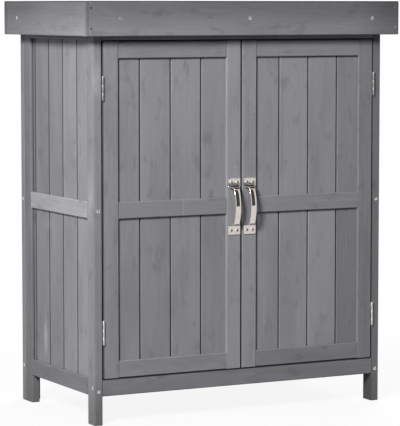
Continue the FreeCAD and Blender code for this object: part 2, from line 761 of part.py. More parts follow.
def doors():
    panel = Panel("door_left", "door_face", "door_under", 0)
    pieces = framed_wall("left_door", panel, ("hinge_stile", "meeting_stile"), "door_width", "door_height",
                         "0", "door_opening", "door_first_board", "door_rise")
    near = "hinge_gap / 2 - leaf_thick"
    leaf = hinge_leaf("door_leaf", near, near, FACING["left"], (1,))
    leaves = keep(group("left_door_hinge_leaves", on_hinges(leaf, "door_leaf")), "left_door_hinge_leaves")
    pull = handle("left_door_handle")
    hinge_screw = sunk_screw("door_hinge_screw", "hinge_screw_head", "hinge_screw_shank", "hinge_screw_length",
                             "0", "leaf_thick")
    screws = leaf_screws(hinge_screw, "door_leaf_screw", f"hinge_x + {near}", FACING["left"])
    rounded = pan_screw("handle_screw", "handle_screw_head", "handle_screw_crown", "handle_screw_rise",
                        "screw_shank", "handle_screw_length")
    screws += at_handle_screws(rounded, "handle_screw", "handle_x", "door_face - handle_plate_thick", "handle_z")
    fixings = keep(group("left_door_screws", screws), "left_door_screws")
    size = ("strike_width", "strike_thick", "strike_height")
    corner = ("-catch_inset - strike_width / 2", "door_back", "strike_z - strike_height / 2")
    strike = keep(block("left_door_strike", size, corner), "left_door_strike")
    right_hand([*pieces, leaves, pull, fixings, strike])


def hinges():
    leaf = hinge_leaf("post_leaf", "-hinge_gap / 2", "leaf_thick - hinge_gap / 2", FACING["right"], (0, 2))
    both_hands(on_hinges(leaf, "post_leaf"), "hinge_post_leaves")
    pin = group("hinge_pin", [upright("hinge_pin_bar", "pin_radius", "-hinge_height / 2", "hinge_height")])
    both_hands(on_hinges(pin, "pin"), "hinge_pins")
    screw = sunk_screw("post_hinge_screw", "hinge_screw_head", "hinge_screw_shank", "hinge_screw_length", "0",
                       "leaf_thick")
    both_hands(leaf_screws(screw, "post_leaf_screw", "hinge_x + leaf_thick - hinge_gap / 2", FACING["right"]),
               "hinge_post_screws")


def roof():
    long_board = ("roof_length", "fascia_thick", "fascia_height")
    start = "-roof_length / 2"
    front = bar("roof_front_fascia", long_board, (start, "roof_front", "fascia_under"), "X")
    back = bar("roof_back_fascia", long_board, (start, "deck_back", "fascia_under"), "X")
    short_board = ("fascia_thick", "deck_depth", "fascia_height")
    side = bar("roof_left_fascia", short_board, (start, "deck_front", "fascia_under"), "Y")
    for piece in (front, back, side):
        keep(piece, piece.Label)
    right_hand([side])
    long_rail = ("2 * deck_half", "stock_width", "stock_thick")
    short_rail = ("stock_width", "deck_depth - 2 * stock_width", "stock_thick")
    ring = [
        bar("roof_rail_front", long_rail, ("-deck_half", "deck_front", "body_height"), "X"),
        bar("roof_rail_back", long_rail, ("-deck_half", "deck_back - stock_width", "body_height"), "X"),
        bar("roof_rail_left", short_rail, ("-deck_half", "deck_front + stock_width", "body_height"), "Y"),
    ]
    ring.append(mirrored(ring[-1], "roof_rail_right"))
    keep(group("roof_frame_rails", ring), "roof_frame_rails")
    places = ("-deck_half", "-stock_width / 2", "deck_half - stock_width")
    bearer = ("stock_width", "deck_depth", "bearer_height")
    bearers = [
        bar(f"roof_bearer_{index}", bearer, (x, "deck_front", "ring_top"), "Y") for index, x in enumerate(places)
    ]
    keep(group("roof_bearers", bearers), "roof_bearers")
    planks("roof_deck_boards", whole_count("deck_depth", "deck_board_width"), ("2 * deck_half", "deck_thick"),
           ("-deck_half", "deck_front", "deck_under"), "deck_depth")
    felt = block("roof_felt", ("roof_length", "roof_depth", "felt_thick"), (start, "roof_front", "fascia_top"))
    keep(felt, "roof_felt")


def write_parts():
    """Check every object, then write one file for each finished piece."""
    doc.recompute()
    failed = [item.Label for item in doc.Objects if {"Invalid", "Error"} & set(item.State)]
    failed += [item.Label for item in kept if item.Shape.isNull() or not item.Shape.isValid()]
    if failed:
        raise RuntimeError(f"failed: {failed}")
    os.makedirs("parts", exist_ok=True)
    for item in kept:
        item.Shape.exportStep(f"parts/{item.Label}.step")
    solids = sum(len(item.Shape.Solids) for item in kept)
    print(f"{len(kept)} files, {solids} solids")


fill_sheet("Sizes", {alias: str(size) for alias, size in SIZES.items()})
fill_sheet("Layout", {alias: f"={bind(formula)}" for alias, formula in LAYOUT.items()})
case()
inside()
door_stop()
doors()
hinges()
frame_screws()
roof()
fascia_screws()
write_parts()
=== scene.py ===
# %% [markdown]
# # A garden storage cabinet
# This lesson dresses a finished model of a small timber cabinet: two boarded doors, boarded sides and
# back, short legs and a flat felted roof. The model comes in as a fixed frame, so every size and place is
# already right. What is left for Blender is what a camera sees: softened edges, wood grain under a grey
# stain, plated metal, crossed screw heads, roofing felt, and the light of a photographer's studio.

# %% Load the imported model
import json
import math
import random

import bmesh
import bpy
from mathutils import Matrix, Vector


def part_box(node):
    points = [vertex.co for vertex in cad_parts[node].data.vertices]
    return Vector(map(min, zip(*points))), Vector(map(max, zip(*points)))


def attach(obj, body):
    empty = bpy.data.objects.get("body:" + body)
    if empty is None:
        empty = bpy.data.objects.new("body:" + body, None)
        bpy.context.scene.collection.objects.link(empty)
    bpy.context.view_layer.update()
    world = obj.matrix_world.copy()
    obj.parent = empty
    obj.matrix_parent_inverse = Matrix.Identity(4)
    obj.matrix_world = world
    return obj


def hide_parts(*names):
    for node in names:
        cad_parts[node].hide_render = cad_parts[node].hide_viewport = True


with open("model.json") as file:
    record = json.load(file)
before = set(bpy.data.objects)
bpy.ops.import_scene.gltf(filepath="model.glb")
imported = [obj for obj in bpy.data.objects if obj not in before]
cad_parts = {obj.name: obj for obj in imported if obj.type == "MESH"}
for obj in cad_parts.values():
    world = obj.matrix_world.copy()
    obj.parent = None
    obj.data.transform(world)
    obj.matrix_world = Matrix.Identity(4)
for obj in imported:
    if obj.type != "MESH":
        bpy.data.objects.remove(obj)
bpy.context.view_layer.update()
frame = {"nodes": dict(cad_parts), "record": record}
nodes = frame["nodes"]
MM = 0.001

# %% [markdown]
# ## The camera
# The photograph was taken from the left of the cabinet's middle, a little under lid height, with a long
# lens. Its place was worked out from the perspective of the cabinet's own edges, so the camera is set by
# numbers and not by eye. The view transform stays plain, because a stain's colour should render as it is
# written.

# %% Place the camera
scene = bpy.context.scene
scene.view_settings.view_transform = "Standard"

CAMERA_PLACE = (-2.336, -4.441, 0.8676)
CAMERA_YAW = 27.724
CAMERA_PITCH = -5.17
FOCAL_PIXELS = 2299.1
PICTURE_HEIGHT = 426

camera_data = bpy.data.cameras.new("camera")
camera_data.sensor_fit = "VERTICAL"
camera_data.sensor_height = 36
camera_data.lens = camera_data.sensor_height * FOCAL_PIXELS / PICTURE_HEIGHT
camera = bpy.data.objects.new("camera", camera_data)
camera.location = CAMERA_PLACE
camera.rotation_euler = (math.radians(90 + CAMERA_PITCH), 0, math.radians(-CAMERA_YAW))
scene.collection.objects.link(camera)
scene.camera = camera
print("lens", round(camera_data.lens, 1), "mm")

# %% [markdown]
# ## Studio light
# Two things tell how the real cabinet was lit. The handles throw a soft shadow to the right and
# downwards, and the doors' frames shade the left edge of their boards, so the key lamp stands in front,
# to the left and above. It stands near enough for the light to fall off to the right and downwards, as it
# does on the real doors. A weak, wide lamp high over the front reaches the doors but not the wood close
# under the lid, so it deepens that shadow a little, and one behind lights the back for whoever walks
# round the cabinet. Area lamps are used, because their size makes a shadow soft.


# %% Lamps
def area_lamp(name, place, size, watts):
    """Hang a square lamp at a place, facing the middle of the cabinet."""
    data = bpy.data.lights.new(name, "AREA")
    data.shape = "SQUARE"
    data.size = size
    data.energy = watts
    lamp = bpy.data.objects.new(name, data)
    lamp.location = place
    lamp.rotation_euler = (MIDDLE - Vector(place)).to_track_quat("-Z", "Y").to_euler()
    lamp.visible_camera = False
    scene.collection.objects.link(lamp)
    print(name, watts, "W")


MIDDLE = Vector((0, -0.1, 0.5))
area_lamp("key lamp", (-2.6, -2.3, 2.33), 0.85, 187)
area_lamp("overhead lamp", (0.1, -1.9, 3.0), 1.6, 10)
area_lamp("back lamp", (2.2, 2.4, 2.1), 1.6, 130)

# %% [markdown]
# Every shader below is wired from the same few steps, so they are made short: one adds a node and feeds
# its sockets, two do sums, and one stretches a value from one range to another. A socket is fed either a
# plain value or another node's output.


# %% Wiring helpers
def feed(tree, socket, value):
    """Give a socket a plain value, or link it to another node's output."""
    if isinstance(value, bpy.types.NodeSocket):
        tree.links.new(value, socket)
    else:
        socket.default_value = value


def new_node(tree, kind, sockets=None, **settings):
    """Add a node, set its properties, and feed its sockets, which are given by name or number."""
    node = tree.nodes.new(kind)
    for key, value in settings.items():
        setattr(node, key, value)
    for key, value in (sockets or {}).items():
        feed(tree, node.inputs[key], value)
    return node


def maths(tree, operation, first, second):
    return new_node(tree, "ShaderNodeMath", {0: first, 1: second}, operation=operation).outputs[0]


def times(tree, first, second):
    return maths(tree, "MULTIPLY", first, second)


def plus(tree, first, second):
    return maths(tree, "ADD", first, second)


def vector_maths(tree, operation, first, second=(0, 0, 0)):
    """Combine two vectors; a length, which needs only one, comes out as a value."""
    node = new_node(tree, "ShaderNodeVectorMath", {0: first, 1: second}, operation=operation)
    return node.outputs["Value" if operation == "LENGTH" else "Vector"]


def remap(tree, source, low, high, start=0.0, stop=1.0):
    """Stretch a value from one range to another, clamped."""
    sockets = {"Value": source, "From Min": low, "From Max": high, "To Min": start, "To Max": stop}
    return new_node(tree, "ShaderNodeMapRange", sockets, interpolation_type="SMOOTHSTEP").outputs["Result"]


def object_spot(tree):
    return new_node(tree, "ShaderNodeTexCoord").outputs["Object"]


# %% [markdown]
# The room is white. A lamp that a camera ray never meets can be as dim as the wood needs, while the
# background stays pure white: Light Path's Is Camera Ray picks a strength of 1 for what the camera sees
# and a weaker one for what lights the wood. Metal has to show the same white room, so Is Glossy Ray joins
# in.


# %% The white room
def seen_share(tree):
    """Give 1 to camera and mirror rays, and 0 to the rays that light things."""
    rays = new_node(tree, "ShaderNodeLightPath").outputs
    return maths(tree, "MAXIMUM", rays["Is Camera Ray"], rays["Is Glossy Ray"])


WORLD_LIGHT = 0.06

world = bpy.data.worlds.new("studio")
scene.world = world
world.use_nodes = True
tree = world.node_tree
tree.nodes.clear()
strength = remap(tree, seen_share(tree), 0.0, 1.0, WORLD_LIGHT, 1.0)
glow = new_node(tree, "ShaderNodeBackground", {"Color": (1, 1, 1, 1), "Strength": strength})
new_node(tree, "ShaderNodeOutputWorld", {"Surface": glow.outputs[0]})

# %% [markdown]
# The floor is a wide pale sheet. It catches the soft shadow of the legs, and for camera rays most of it
# glows, wholly so further out, so that it meets the white background with no line. For light that bounces
# up to the wood it is only a dim grey. A dark board stands in front on the right, where only mirror rays
# see it: it is what a photographer puts there so that plated metal shows its form.


# %% Floor and dark board
def as_mesh(bm, name):
    """Turn a bmesh into a mesh and free it."""
    mesh = bpy.data.meshes.new(name)
    bm.to_mesh(mesh)
    bm.free()
    return mesh


def as_object(bm, name):
    """Turn a bmesh into an object of the scene and free it."""
    made = bpy.data.objects.new(name, as_mesh(bm, name))
    scene.collection.objects.link(made)
    return made


def flat_sheet(name, width, depth, matrix):
    bm = bmesh.new()
    bmesh.ops.create_grid(bm, x_segments=1, y_segments=1, size=0.5)
    bmesh.ops.scale(bm, vec=(width, depth, 1), verts=bm.verts)
    bmesh.ops.transform(bm, matrix=matrix, verts=bm.verts)
    sheet = as_object(bm, name)
    return sheet


def new_material(name):
    """Make an empty node material and return it with its tree."""
    material = bpy.data.materials.new(name)
    material.use_nodes = True
    material.node_tree.nodes.clear()
    return material, material.node_tree


def send_out(tree, shader):
    new_node(tree, "ShaderNodeOutputMaterial", {"Surface": shader})


def matt_grey(tree, value):
    return new_node(tree, "ShaderNodeBsdfDiffuse", {"Color": (value, value, value, 1)}).outputs[0]


def mix_shaders(tree, share, first, second):
    return new_node(tree, "ShaderNodeMixShader", {0: share, 1: first, 2: second}).outputs[0]


GLOW_NEAR, GLOW_FAR = 0.5, 1.7
FLOOR_GREY, FLOOR_BOUNCE, BOARD_GREY = 0.8, 0.25, 0.11

floor = flat_sheet("floor", 40, 40, Matrix.Translation((0, 0, -0.0004)))
floor_paint, tree = new_material("white studio floor")
distance = vector_maths(tree, "LENGTH", object_spot(tree))
glow_share = remap(tree, distance, GLOW_NEAR, GLOW_FAR, 0.9, 1.0)
bright = new_node(tree, "ShaderNodeEmission", {"Color": (1, 1, 1, 1), "Strength": 1.0}).outputs[0]
shown = mix_shaders(tree, glow_share, matt_grey(tree, FLOOR_GREY), bright)
send_out(tree, mix_shaders(tree, seen_share(tree), matt_grey(tree, FLOOR_BOUNCE), shown))
floor.data.materials.append(floor_paint)

board_turn = Matrix.Rotation(math.radians(14), 4, "Z") @ Matrix.Rotation(math.radians(90), 4, "X")
board = flat_sheet("dark_board", 3.2, 3.5, Matrix.Translation((0.8, -3.4, 2.0)) @ board_turn)
board_paint, tree = new_material("black studio board")
send_out(tree, matt_grey(tree, BOARD_GREY))
board.data.materials.append(board_paint)
board.visible_camera = False
board.visible_diffuse = False
board.visible_shadow = False

# %% [markdown]
# ## Grain under a grey stain
# Softwood is cut from a trunk of nearly round growth rings, so its figure comes from distance to the
# trunk's centre, not from a striped picture. Each piece of timber carries a vector attribute, "place":
# its own position in the trunk that it was sawn from, with the trunk running along Z. Rings are then the
# distance from Z, bent a little by noise and cut into steps one ring wide. Faces cut flat to the rings
# show wide arches, and faces cut across show fine lines, as on real boards. The stain is thin, so all
# this stays faint.


# %% Shader groups and noise
def new_group(name, inputs, outputs):
    """Make a shader group from (name, socket kind, default) rows; returns it with its two ends' sockets."""
    group = bpy.data.node_groups.new(name, "ShaderNodeTree")
    for label, kind, value in inputs:
        socket = group.interface.new_socket(label, in_out="INPUT", socket_type=f"NodeSocket{kind}")
        if value is not None:
            socket.default_value = value
    for label in outputs:
        group.interface.new_socket(label, in_out="OUTPUT", socket_type="NodeSocketFloat")
    return group, new_node(group, "NodeGroupInput").outputs, new_node(group, "NodeGroupOutput").inputs


def noise(tree, vector, scale, stretch=(1, 1, 1), detail=3.0, roughness=0.55):
    """Noise on a stretched vector; a smaller stretch draws it out along that axis."""
    mapping = new_node(tree, "ShaderNodeMapping", {"Vector": vector, "Scale": stretch})
    sockets = {"Vector": mapping.outputs[0], "Scale": scale, "Detail": detail, "Roughness": roughness}
    return new_node(tree, "ShaderNodeTexNoise", sockets).outputs[0]


# %% [markdown]
# The grain group works in metres. Knots come from a Voronoi pattern with wide cells: only some cells hold
# a knot, and near a knot the rings swing round it. The pattern is flat, in X and Z only, because a knot
# runs right through a board. Fibres are noise drawn out along Z. The group gives a ring mask, a knot
# mask, two masks for uneven stain, one for the pale flecks that the brush missed, the fibres, and a
# height for a Bump node.

# %% The grain group
grain, gin, gout = new_group(
    "Softwood figure",
    [("Place", "Vector", None), ("Ring width", "Float", 0.004), ("Knots", "Float", 0.5)],
    ["Rings", "Knot", "Blotch", "Smudge", "Fleck", "Fibre", "Height"],
)
place = gin["Place"]
parts = new_node(grain, "ShaderNodeSeparateXYZ", {0: place}).outputs
columns, rows = times(grain, parts["X"], 9.0), times(grain, parts["Z"], 4.5)
cells = new_node(grain, "ShaderNodeCombineXYZ", {"X": columns, "Y": rows}).outputs[0]
sockets = {"Vector": cells, "Scale": 1.0}
knots = new_node(grain, "ShaderNodeTexVoronoi", sockets, feature="F1", voronoi_dimensions="2D").outputs
pick = new_node(grain, "ShaderNodeSeparateColor", {0: knots["Color"]}).outputs
chance = maths(grain, "LESS_THAN", pick[0], gin["Knots"])
knot_size = plus(grain, times(grain, pick[1], 0.045), 0.022)
nearness = maths(grain, "SUBTRACT", 1.0, maths(grain, "DIVIDE", knots["Distance"], knot_size))
knot_mask = times(grain, remap(grain, nearness, -0.35, 0.35), chance)
swing = times(grain, remap(grain, nearness, -5.0, 0.6), chance)
drift = noise(grain, place, 1.0, (9.0, 9.0, 1.6), detail=1.0)
waver = noise(grain, place, 1.0, (60.0, 60.0, 5.0), detail=2.0)
fine_fibre = noise(grain, place, 1.0, (700.0, 700.0, 14.0), detail=2.0, roughness=0.7)
streaks = noise(grain, place, 1.0, (210.0, 210.0, 3.5), detail=2.0, roughness=0.6)
fibre = times(grain, plus(grain, fine_fibre, streaks), 0.5)
blotch = noise(grain, place, 1.0, (22.0, 22.0, 4.0))
smudge = remap(grain, noise(grain, place, 1.0, (46.0, 46.0, 22.0)), 0.55, 0.73)
fleck = remap(grain, noise(grain, place, 1.0, (420.0, 420.0, 160.0), detail=1.0, roughness=0.5), 0.7, 0.8)
bent = vector_maths(grain, "LENGTH", vector_maths(grain, "MULTIPLY", place, (1, 1, 0)))
for bend, share in ((drift, 0.05), (waver, 0.006), (swing, 0.012)):
    bent = plus(grain, bent, times(grain, bend, share))
turn = maths(grain, "FRACT", maths(grain, "DIVIDE", bent, gin["Ring width"]), 0.0)
late = times(grain, remap(grain, turn, 0.25, 0.85), remap(grain, turn, 1.0, 0.88))
relief = plus(grain, times(grain, late, 0.5), times(grain, fibre, 0.5))
for mask, socket in zip((late, knot_mask, blotch, smudge, fleck, fibre, relief), gout):
    feed(grain, socket, mask)
print("grain group:", len(grain.nodes), "nodes")

# %% [markdown]
# Handled things wear at their edges first. The modelling below marks every softened edge with an
# attribute named "edge", so wear needs no trick with the camera: this group breaks that mark up with
# noise, and can be used by wood, where the stain thins, and by metal, where the plating dulls.

# %% The edge wear group
wear, win, wout = new_group(
    "Edge wear",
    [("Edge", "Float", 0.0), ("Place", "Vector", None), ("Size", "Float", 60.0), ("Amount", "Float", 0.5)],
    ["Mask"],
)
patches = new_node(wear, "ShaderNodeTexNoise", {"Detail": 4.0, "Vector": win["Place"], "Scale": win["Size"]})
worn = times(wear, remap(wear, patches.outputs[0], 0.35, 0.65), win["Edge"])
feed(wear, wout["Mask"], times(wear, worn, win["Amount"]))


# %% [markdown]
# ## Stained timber
# One function makes each timber finish, because the frame, the boards and the inner pieces differ only in
# tone, knots and roughness. The stain's colour is mixed in steps: late rings a little darker, blotches
# where the wood drank more, knots darkest, worn edges lighter. Each piece also has its own "tone", so
# that two boards side by side are never the same grey; on some pieces the tone also holds painted light
# and shade. End grain drinks most, so faces marked "end" go darker. Stain also pools in the joints between
# boards, which carry a joint mark, and the same mark paints shadow along the top and the left or rear
# edges of each panel. The feet are darker towards the bottom. Such a stain is matt: with a full specular
# level the wood would mirror the white room, and the lid's shadow would turn pale.


# %% Steps of a finish
def masks_of(tree, group, sockets):
    """Place a shader group and give its outputs."""
    return new_node(tree, "ShaderNodeGroup", sockets, node_tree=group).outputs


def attribute(tree, name, output="Fac"):
    return new_node(tree, "ShaderNodeAttribute", attribute_name=name).outputs[output]


def worn_edges(tree, place, size, amount):
    sockets = {"Edge": attribute(tree, "edge"), "Place": place, "Size": size, "Amount": amount}
    return masks_of(tree, wear, sockets)["Mask"]


def shade_of(tree, colour, factor):
    """Multiply a colour socket by a value."""
    return new_node(tree, "ShaderNodeVectorMath", {0: colour, "Scale": factor}, operation="SCALE").outputs[0]


def blend_colours(tree, share, first, second):
    """Mix two colours, each a socket or three numbers."""
    first, second = [
        value if isinstance(value, bpy.types.NodeSocket) else (*value, 1) for value in (first, second)
    ]
    sockets = {0: share, 6: first, 7: second}
    return new_node(tree, "ShaderNodeMix", sockets, data_type="RGBA", clamp_factor=True).outputs[2]


def axis_fade(tree, axis, low, high, start, stop):
    """A factor that goes from start to stop along an object axis."""
    parts = new_node(tree, "ShaderNodeSeparateXYZ", {0: object_spot(tree)}).outputs
    return remap(tree, parts[axis], low, high, start, stop)


def add_shader(tree, sockets, relief, strength, depth):
    """Finish a material with a Principled shader, and with a bump where that has a strength."""
    if strength:
        bump = new_node(tree, "ShaderNodeBump", {"Height": relief, "Strength": strength, "Distance": depth})
        sockets["Normal"] = bump.outputs[0]
    send_out(tree, new_node(tree, "ShaderNodeBsdfPrincipled", sockets).outputs[0])


# %% Timber materials
MATT_STAIN = 0.15
RING_WIDTH = 0.0032
# The wood is darker towards the bottom, below this height.
FOOT_DARK_HEIGHT, FOOT_DARK_TONE = 0.1, 0.8


def timber_material(name, stain, knots, roughness):
    """Grey stained softwood; stain is its linear colour."""
    material, tree = new_material(name)
    place = attribute(tree, "place", "Vector")
    figure = masks_of(tree, grain, {"Place": place, "Ring width": RING_WIDTH, "Knots": knots})
    darkest, dark, pale = [[part * gain for part in stain] for gain in (0.42, 0.74, 1.5)]
    colour = stain
    for share, tint in (
        (times(tree, figure["Rings"], 0.2), dark),
        (remap(tree, figure["Blotch"], 0.42, 0.7, 0.0, 0.5), dark),
        (times(tree, figure["Smudge"], 0.85), dark),
        (times(tree, figure["Fleck"], 0.5), pale),
        (times(tree, figure["Knot"], 0.5), darkest),
    ):
        colour = blend_colours(tree, share, colour, tint)
    colour = shade_of(tree, colour, remap(tree, figure["Fibre"], 0.2, 0.8, 0.93, 1.07))
    colour = blend_colours(tree, worn_edges(tree, place, 45.0, 0.2), colour, pale)
    # The joint mark darkens real joints and also paints shadow at the panels' edges; the tone holds some
    # painted shade too.
    for factor in (
        attribute(tree, "tone"),
        maths(tree, "SUBTRACT", 1.0, times(tree, attribute(tree, "end"), 0.22)),
        remap(tree, attribute(tree, "joint_and_shadow"), 0.25, 0.72, 1.0, 0.14),
        axis_fade(tree, "Z", 0.0, FOOT_DARK_HEIGHT, FOOT_DARK_TONE, 1.0),
    ):
        colour = shade_of(tree, colour, factor)
    gloss = plus(tree, remap(tree, figure["Blotch"], 0.3, 0.7, -0.05, 0.06), roughness)
    sockets = {"Base Color": colour, "Roughness": gloss, "Specular IOR Level": MATT_STAIN}
    add_shader(tree, sockets, figure["Height"], 0.22, 0.4 * MM)
    return material


GREY = (0.245, 0.245, 0.262)
frame_timber = timber_material("grey stained frame timber", GREY, 0.12, 0.5)
board_timber = timber_material("grey stained boards", GREY, 0.2, 0.5)
inner_timber = timber_material("grey stained inner timber", [part * 0.92 for part in GREY], 0.6, 0.62)

# %% [markdown]
# ## Softened edges
# Nothing planed and sanded has a knife edge, and the thin bright line along each softened edge is what
# makes timber look solid. The frame's own meshes are right in size but come as loose triangles. So each
# is copied, its doubles merged and its flat triangles dissolved, and then its outward edges are bevelled.
# Inward corners stay sharp. While the pieces are separate islands, each is given its own place in a
# trunk, its tone, and its marks.


# %% Copy a node and soften its edges
def merged_copy(node):
    """Start a bmesh from a node's mesh, with its doubles merged and its flat faces whole."""
    bm = bmesh.new()
    bm.from_mesh(nodes[node].data)
    bmesh.ops.remove_doubles(bm, verts=bm.verts, dist=2e-6)
    bmesh.ops.dissolve_limit(bm, angle_limit=math.radians(0.5), verts=bm.verts, edges=bm.edges)
    return bm


def islands(bm):
    """Collect the connected pieces of a bmesh as lists of faces."""
    left = set(bm.faces)
    found = []
    for seed in bm.faces:
        if seed not in left:
            continue
        left.discard(seed)
        piece, queue = [], [seed]
        while queue:
            face = queue.pop()
            piece.append(face)
            for edge in face.edges:
                for other in edge.link_faces:
                    if other in left:
                        left.discard(other)
                        queue.append(other)
        found.append(piece)
    return found


def box_of(piece):
    """Give the lowest and highest corners of a list of faces."""
    points = [vert.co for face in piece for vert in face.verts]
    return tuple(Vector([pick(point[axis] for point in points) for axis in range(3)]) for pick in (min, max))


def round_edges(bm, edges, width, segments):
    """Bevel the edges and return the new faces."""
    made = bmesh.ops.bevel(
        bm,
        geom=edges,
        offset=width,
        offset_type="OFFSET",
        segments=segments,
        profile=0.5,
        affect="EDGES",
        clamp_overlap=True,
        material=-1,
    )
    return made["faces"]


def soften(bm, width, segments, least_angle=25):
    """Bevel the outward edges and mark the new faces with 1 in a face layer named edge."""
    layer = bm.faces.layers.float.new("edge")
    sharp = [
        edge
        for edge in bm.edges
        if len(edge.link_faces) == 2
        and edge.is_convex
        and edge.calc_face_angle(0) > math.radians(least_angle)
    ]
    for face in round_edges(bm, sharp, width, segments):
        face[layer] = 1.0
    return bm


# %% Hand a piece to the frame
SMOOTH_ANGLE = 38

body_of = {node: body for body, members in frame["record"]["behaviour"]["bodies"].items() for node in members}
slot_of = {row["node"]: row["material_slot"] for row in frame["record"]["subparts"]}


def finish_piece(bm, name, body, materials, replaced=(), smooth=False):
    """Turn a bmesh into an object that rides on a body and stands for the nodes that it replaces."""
    piece = as_object(bm, name)
    if smooth:
        piece.data.shade_smooth()
        piece.data.set_sharp_from_angle(angle=math.radians(SMOOTH_ANGLE))
    for material in materials:
        piece.data.materials.append(material)
    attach(piece, body)
    if replaced:
        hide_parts(*replaced)
    print(name, "on the", body, len(piece.data.polygons), "faces")


def dress(bm, node, ending, *materials, smooth=False):
    """Finish a piece that takes the place of one node, on the node's own body."""
    finish_piece(bm, f"{node}_{ending}", body_of[node], materials, [node], smooth)


def nodes_in(slot):
    return [node for node in slot_of if slot_of[node] == slot]


# %% [markdown]
# The grain runs along each piece's longest side. A trunk position is made by turning the piece so that
# this side lies along Z, and then moving it a random way out from the pith: 30 to 75 mm for frame timber,
# so that rings cross its faces, and square to the wide face for boards. The random numbers are seeded by
# the node's name, so every run gives the same cabinet.


# %% Give each piece its place in a trunk
def mark_timber(bm, name, tones, pith=(0.03, 0.075), aside=(0.0, 0.03), joint_depth=None, listed=None):
    """Store place, tone, end and joint for every island of timber.

    A tone is drawn from the range in tones, or read from listed, in the order of height and then of x and y.
    The joint mark is 0 on the wide faces and 1 at joint_depth under them.
    """
    chooser = random.Random(name)
    place_layer = bm.verts.layers.float_vector.new("place")
    tone_layer = bm.faces.layers.float.new("tone")
    end_layer = bm.faces.layers.float.new("end")
    joint_layer = bm.verts.layers.float.new("joint_and_shadow")
    rows = [(*box_of(piece), piece) for piece in islands(bm)]
    rows.sort(key=lambda row: [round(value, 3) for value in ((row[0] + row[1]).zxy)])
    for index, (low, high, piece) in enumerate(rows):
        thin, wide, long = sorted(range(3), key=lambda axis: high[axis] - low[axis])
        middle = (low + high) / 2
        shift = Vector((
            chooser.choice((-1, 1)) * chooser.uniform(*aside),
            chooser.choice((-1, 1)) * chooser.uniform(*pith),
            chooser.uniform(-8, 8),
        ))
        lean = chooser.uniform(-0.02, 0.02)
        tone = listed[index] if listed else chooser.uniform(*tones)
        for vert in {vert for face in piece for vert in face.verts}:
            spot = vert.co - middle
            local = Vector((spot[wide], spot[thin], spot[long]))
            local.y += lean * local.z
            vert[place_layer] = local + shift
            if joint_depth:
                vert[joint_layer] = min(vert.co[thin] - low[thin], high[thin] - vert.co[thin]) / joint_depth
        for face in piece:
            face[tone_layer] = tone
            face[end_layer] = 1.0 if abs(face.normal[long]) > 0.9 else 0.0


def timber_copy(node, width, segments, **marks):
    """Start a timber piece: a node's mesh with its edges softened and its timber marked."""
    bm = soften(merged_copy(node), width, segments)
    mark_timber(bm, node, **marks)
    return bm


# %% [markdown]
# ## The framed walls and doors
# Every stile and rail is the same planed timber, yet no two took the stain alike: on the real cabinet the
# left side's middle rail is the palest and the rear and right posts are the darkest. So the members that
# can be compared with it get a tone of their own, which also holds painted light and shade: paler on the
# left side, where the light falls, and darker towards the right and the rear, where it falls off. The
# left front post, whose corner catches the light, is rounded more; its side face gets painted light and
# its rounded corner painted shade. The faces inside the gaps round the doors, and the top of the bottom
# rail under them, get painted shade, so those gaps read as dark lines.

# %% Tones of the stiles and rails
MEMBER_TONES_AND_SHADE = {
    "left_front_stile": 0.93,
    "left_rear_stile": 0.77,
    "left_mid_rail": 1.6,
    "left_bottom_rail": 0.85,
    "right_front_stile": 0.71,
    "front_bottom_rail": 0.85,
    "left_door_hinge_stile": 0.985,
    "left_door_meeting_stile": 1.145,
    "left_door_top_rail": 0.94,
    "left_door_mid_rail": 0.92,
    "left_door_bottom_rail": 1.02,
    "right_door_hinge_stile": 0.855,
    "right_door_meeting_stile": 1.11,
    "right_door_top_rail": 0.98,
    "right_door_mid_rail": 1.0,
    "right_door_bottom_rail": 0.885,
}
OTHER_TONES = (0.93, 1.07)
LEFT, RIGHT, UP = Vector((-1, 0, 0)), Vector((1, 0, 0)), Vector((0, 0, 1))
FRONT, BACK = Vector((0, -1, 0)), Vector((0, 1, 0))
CORNER = (LEFT + FRONT).normalized()
# Painted light and shade on single faces: the way a face looks, how nearly (as a cosine), and its tone.
ROUGHLY, SQUARELY = 0.35, 0.95
FACE_LIGHT_AND_SHADE = {
    "left_front_stile": ((RIGHT, ROUGHLY, 0.2), (LEFT, SQUARELY, 1.2), (CORNER, 0.8, 0.85)),
    "right_front_stile": ((LEFT, ROUGHLY, 0.5),),
    "left_door_hinge_stile": ((LEFT, ROUGHLY, 0.35),),
    "left_door_meeting_stile": ((RIGHT, ROUGHLY, 0.2),),
    "right_door_meeting_stile": ((LEFT, ROUGHLY, 0.2),),
    "front_bottom_rail": ((UP, ROUGHLY, 0.2),),
}

# %% [markdown]
# Two things on these members are narrower than a face. Where the doors meet, a strip of painted shadow
# runs along the front of the left door's edge and widens the dark line of the gap, and on the right door's
# edge the painted shade of its faces that look into the gap is mostly lifted again. And the left door's
# middle rail is made of two lengths finger-jointed together, which show as a small step in tone. A face
# has one tone, so bisect_plane first cuts the faces where the tone changes.

# %% Strips and a jointed rail
# Strips of painted shade where the doors meet: the way their faces look, axis, which end of it, reach in mm,
# and tone.
GAP_SHADE_STRIPS = {
    "left_door_meeting_stile": (FRONT, 0, 1, 2.3, 0.25),
    "right_door_meeting_stile": (LEFT, 1, -1, 1.5, 4.0),
}
JOINTED_RAIL = "left_door_mid_rail"
JOINT_START, JOINT_END = -0.141, -0.137
JOINT_TONE, BEYOND_TONE = 1.12, 1.035


def cut_across(bm, axis, spot):
    """Cut every face where it crosses a plane square to an axis."""
    normal = Vector([float(index == axis) for index in range(3)])
    geometry = list(bm.verts) + list(bm.edges) + list(bm.faces)
    bmesh.ops.bisect_plane(bm, geom=geometry, plane_co=normal * spot, plane_no=normal)


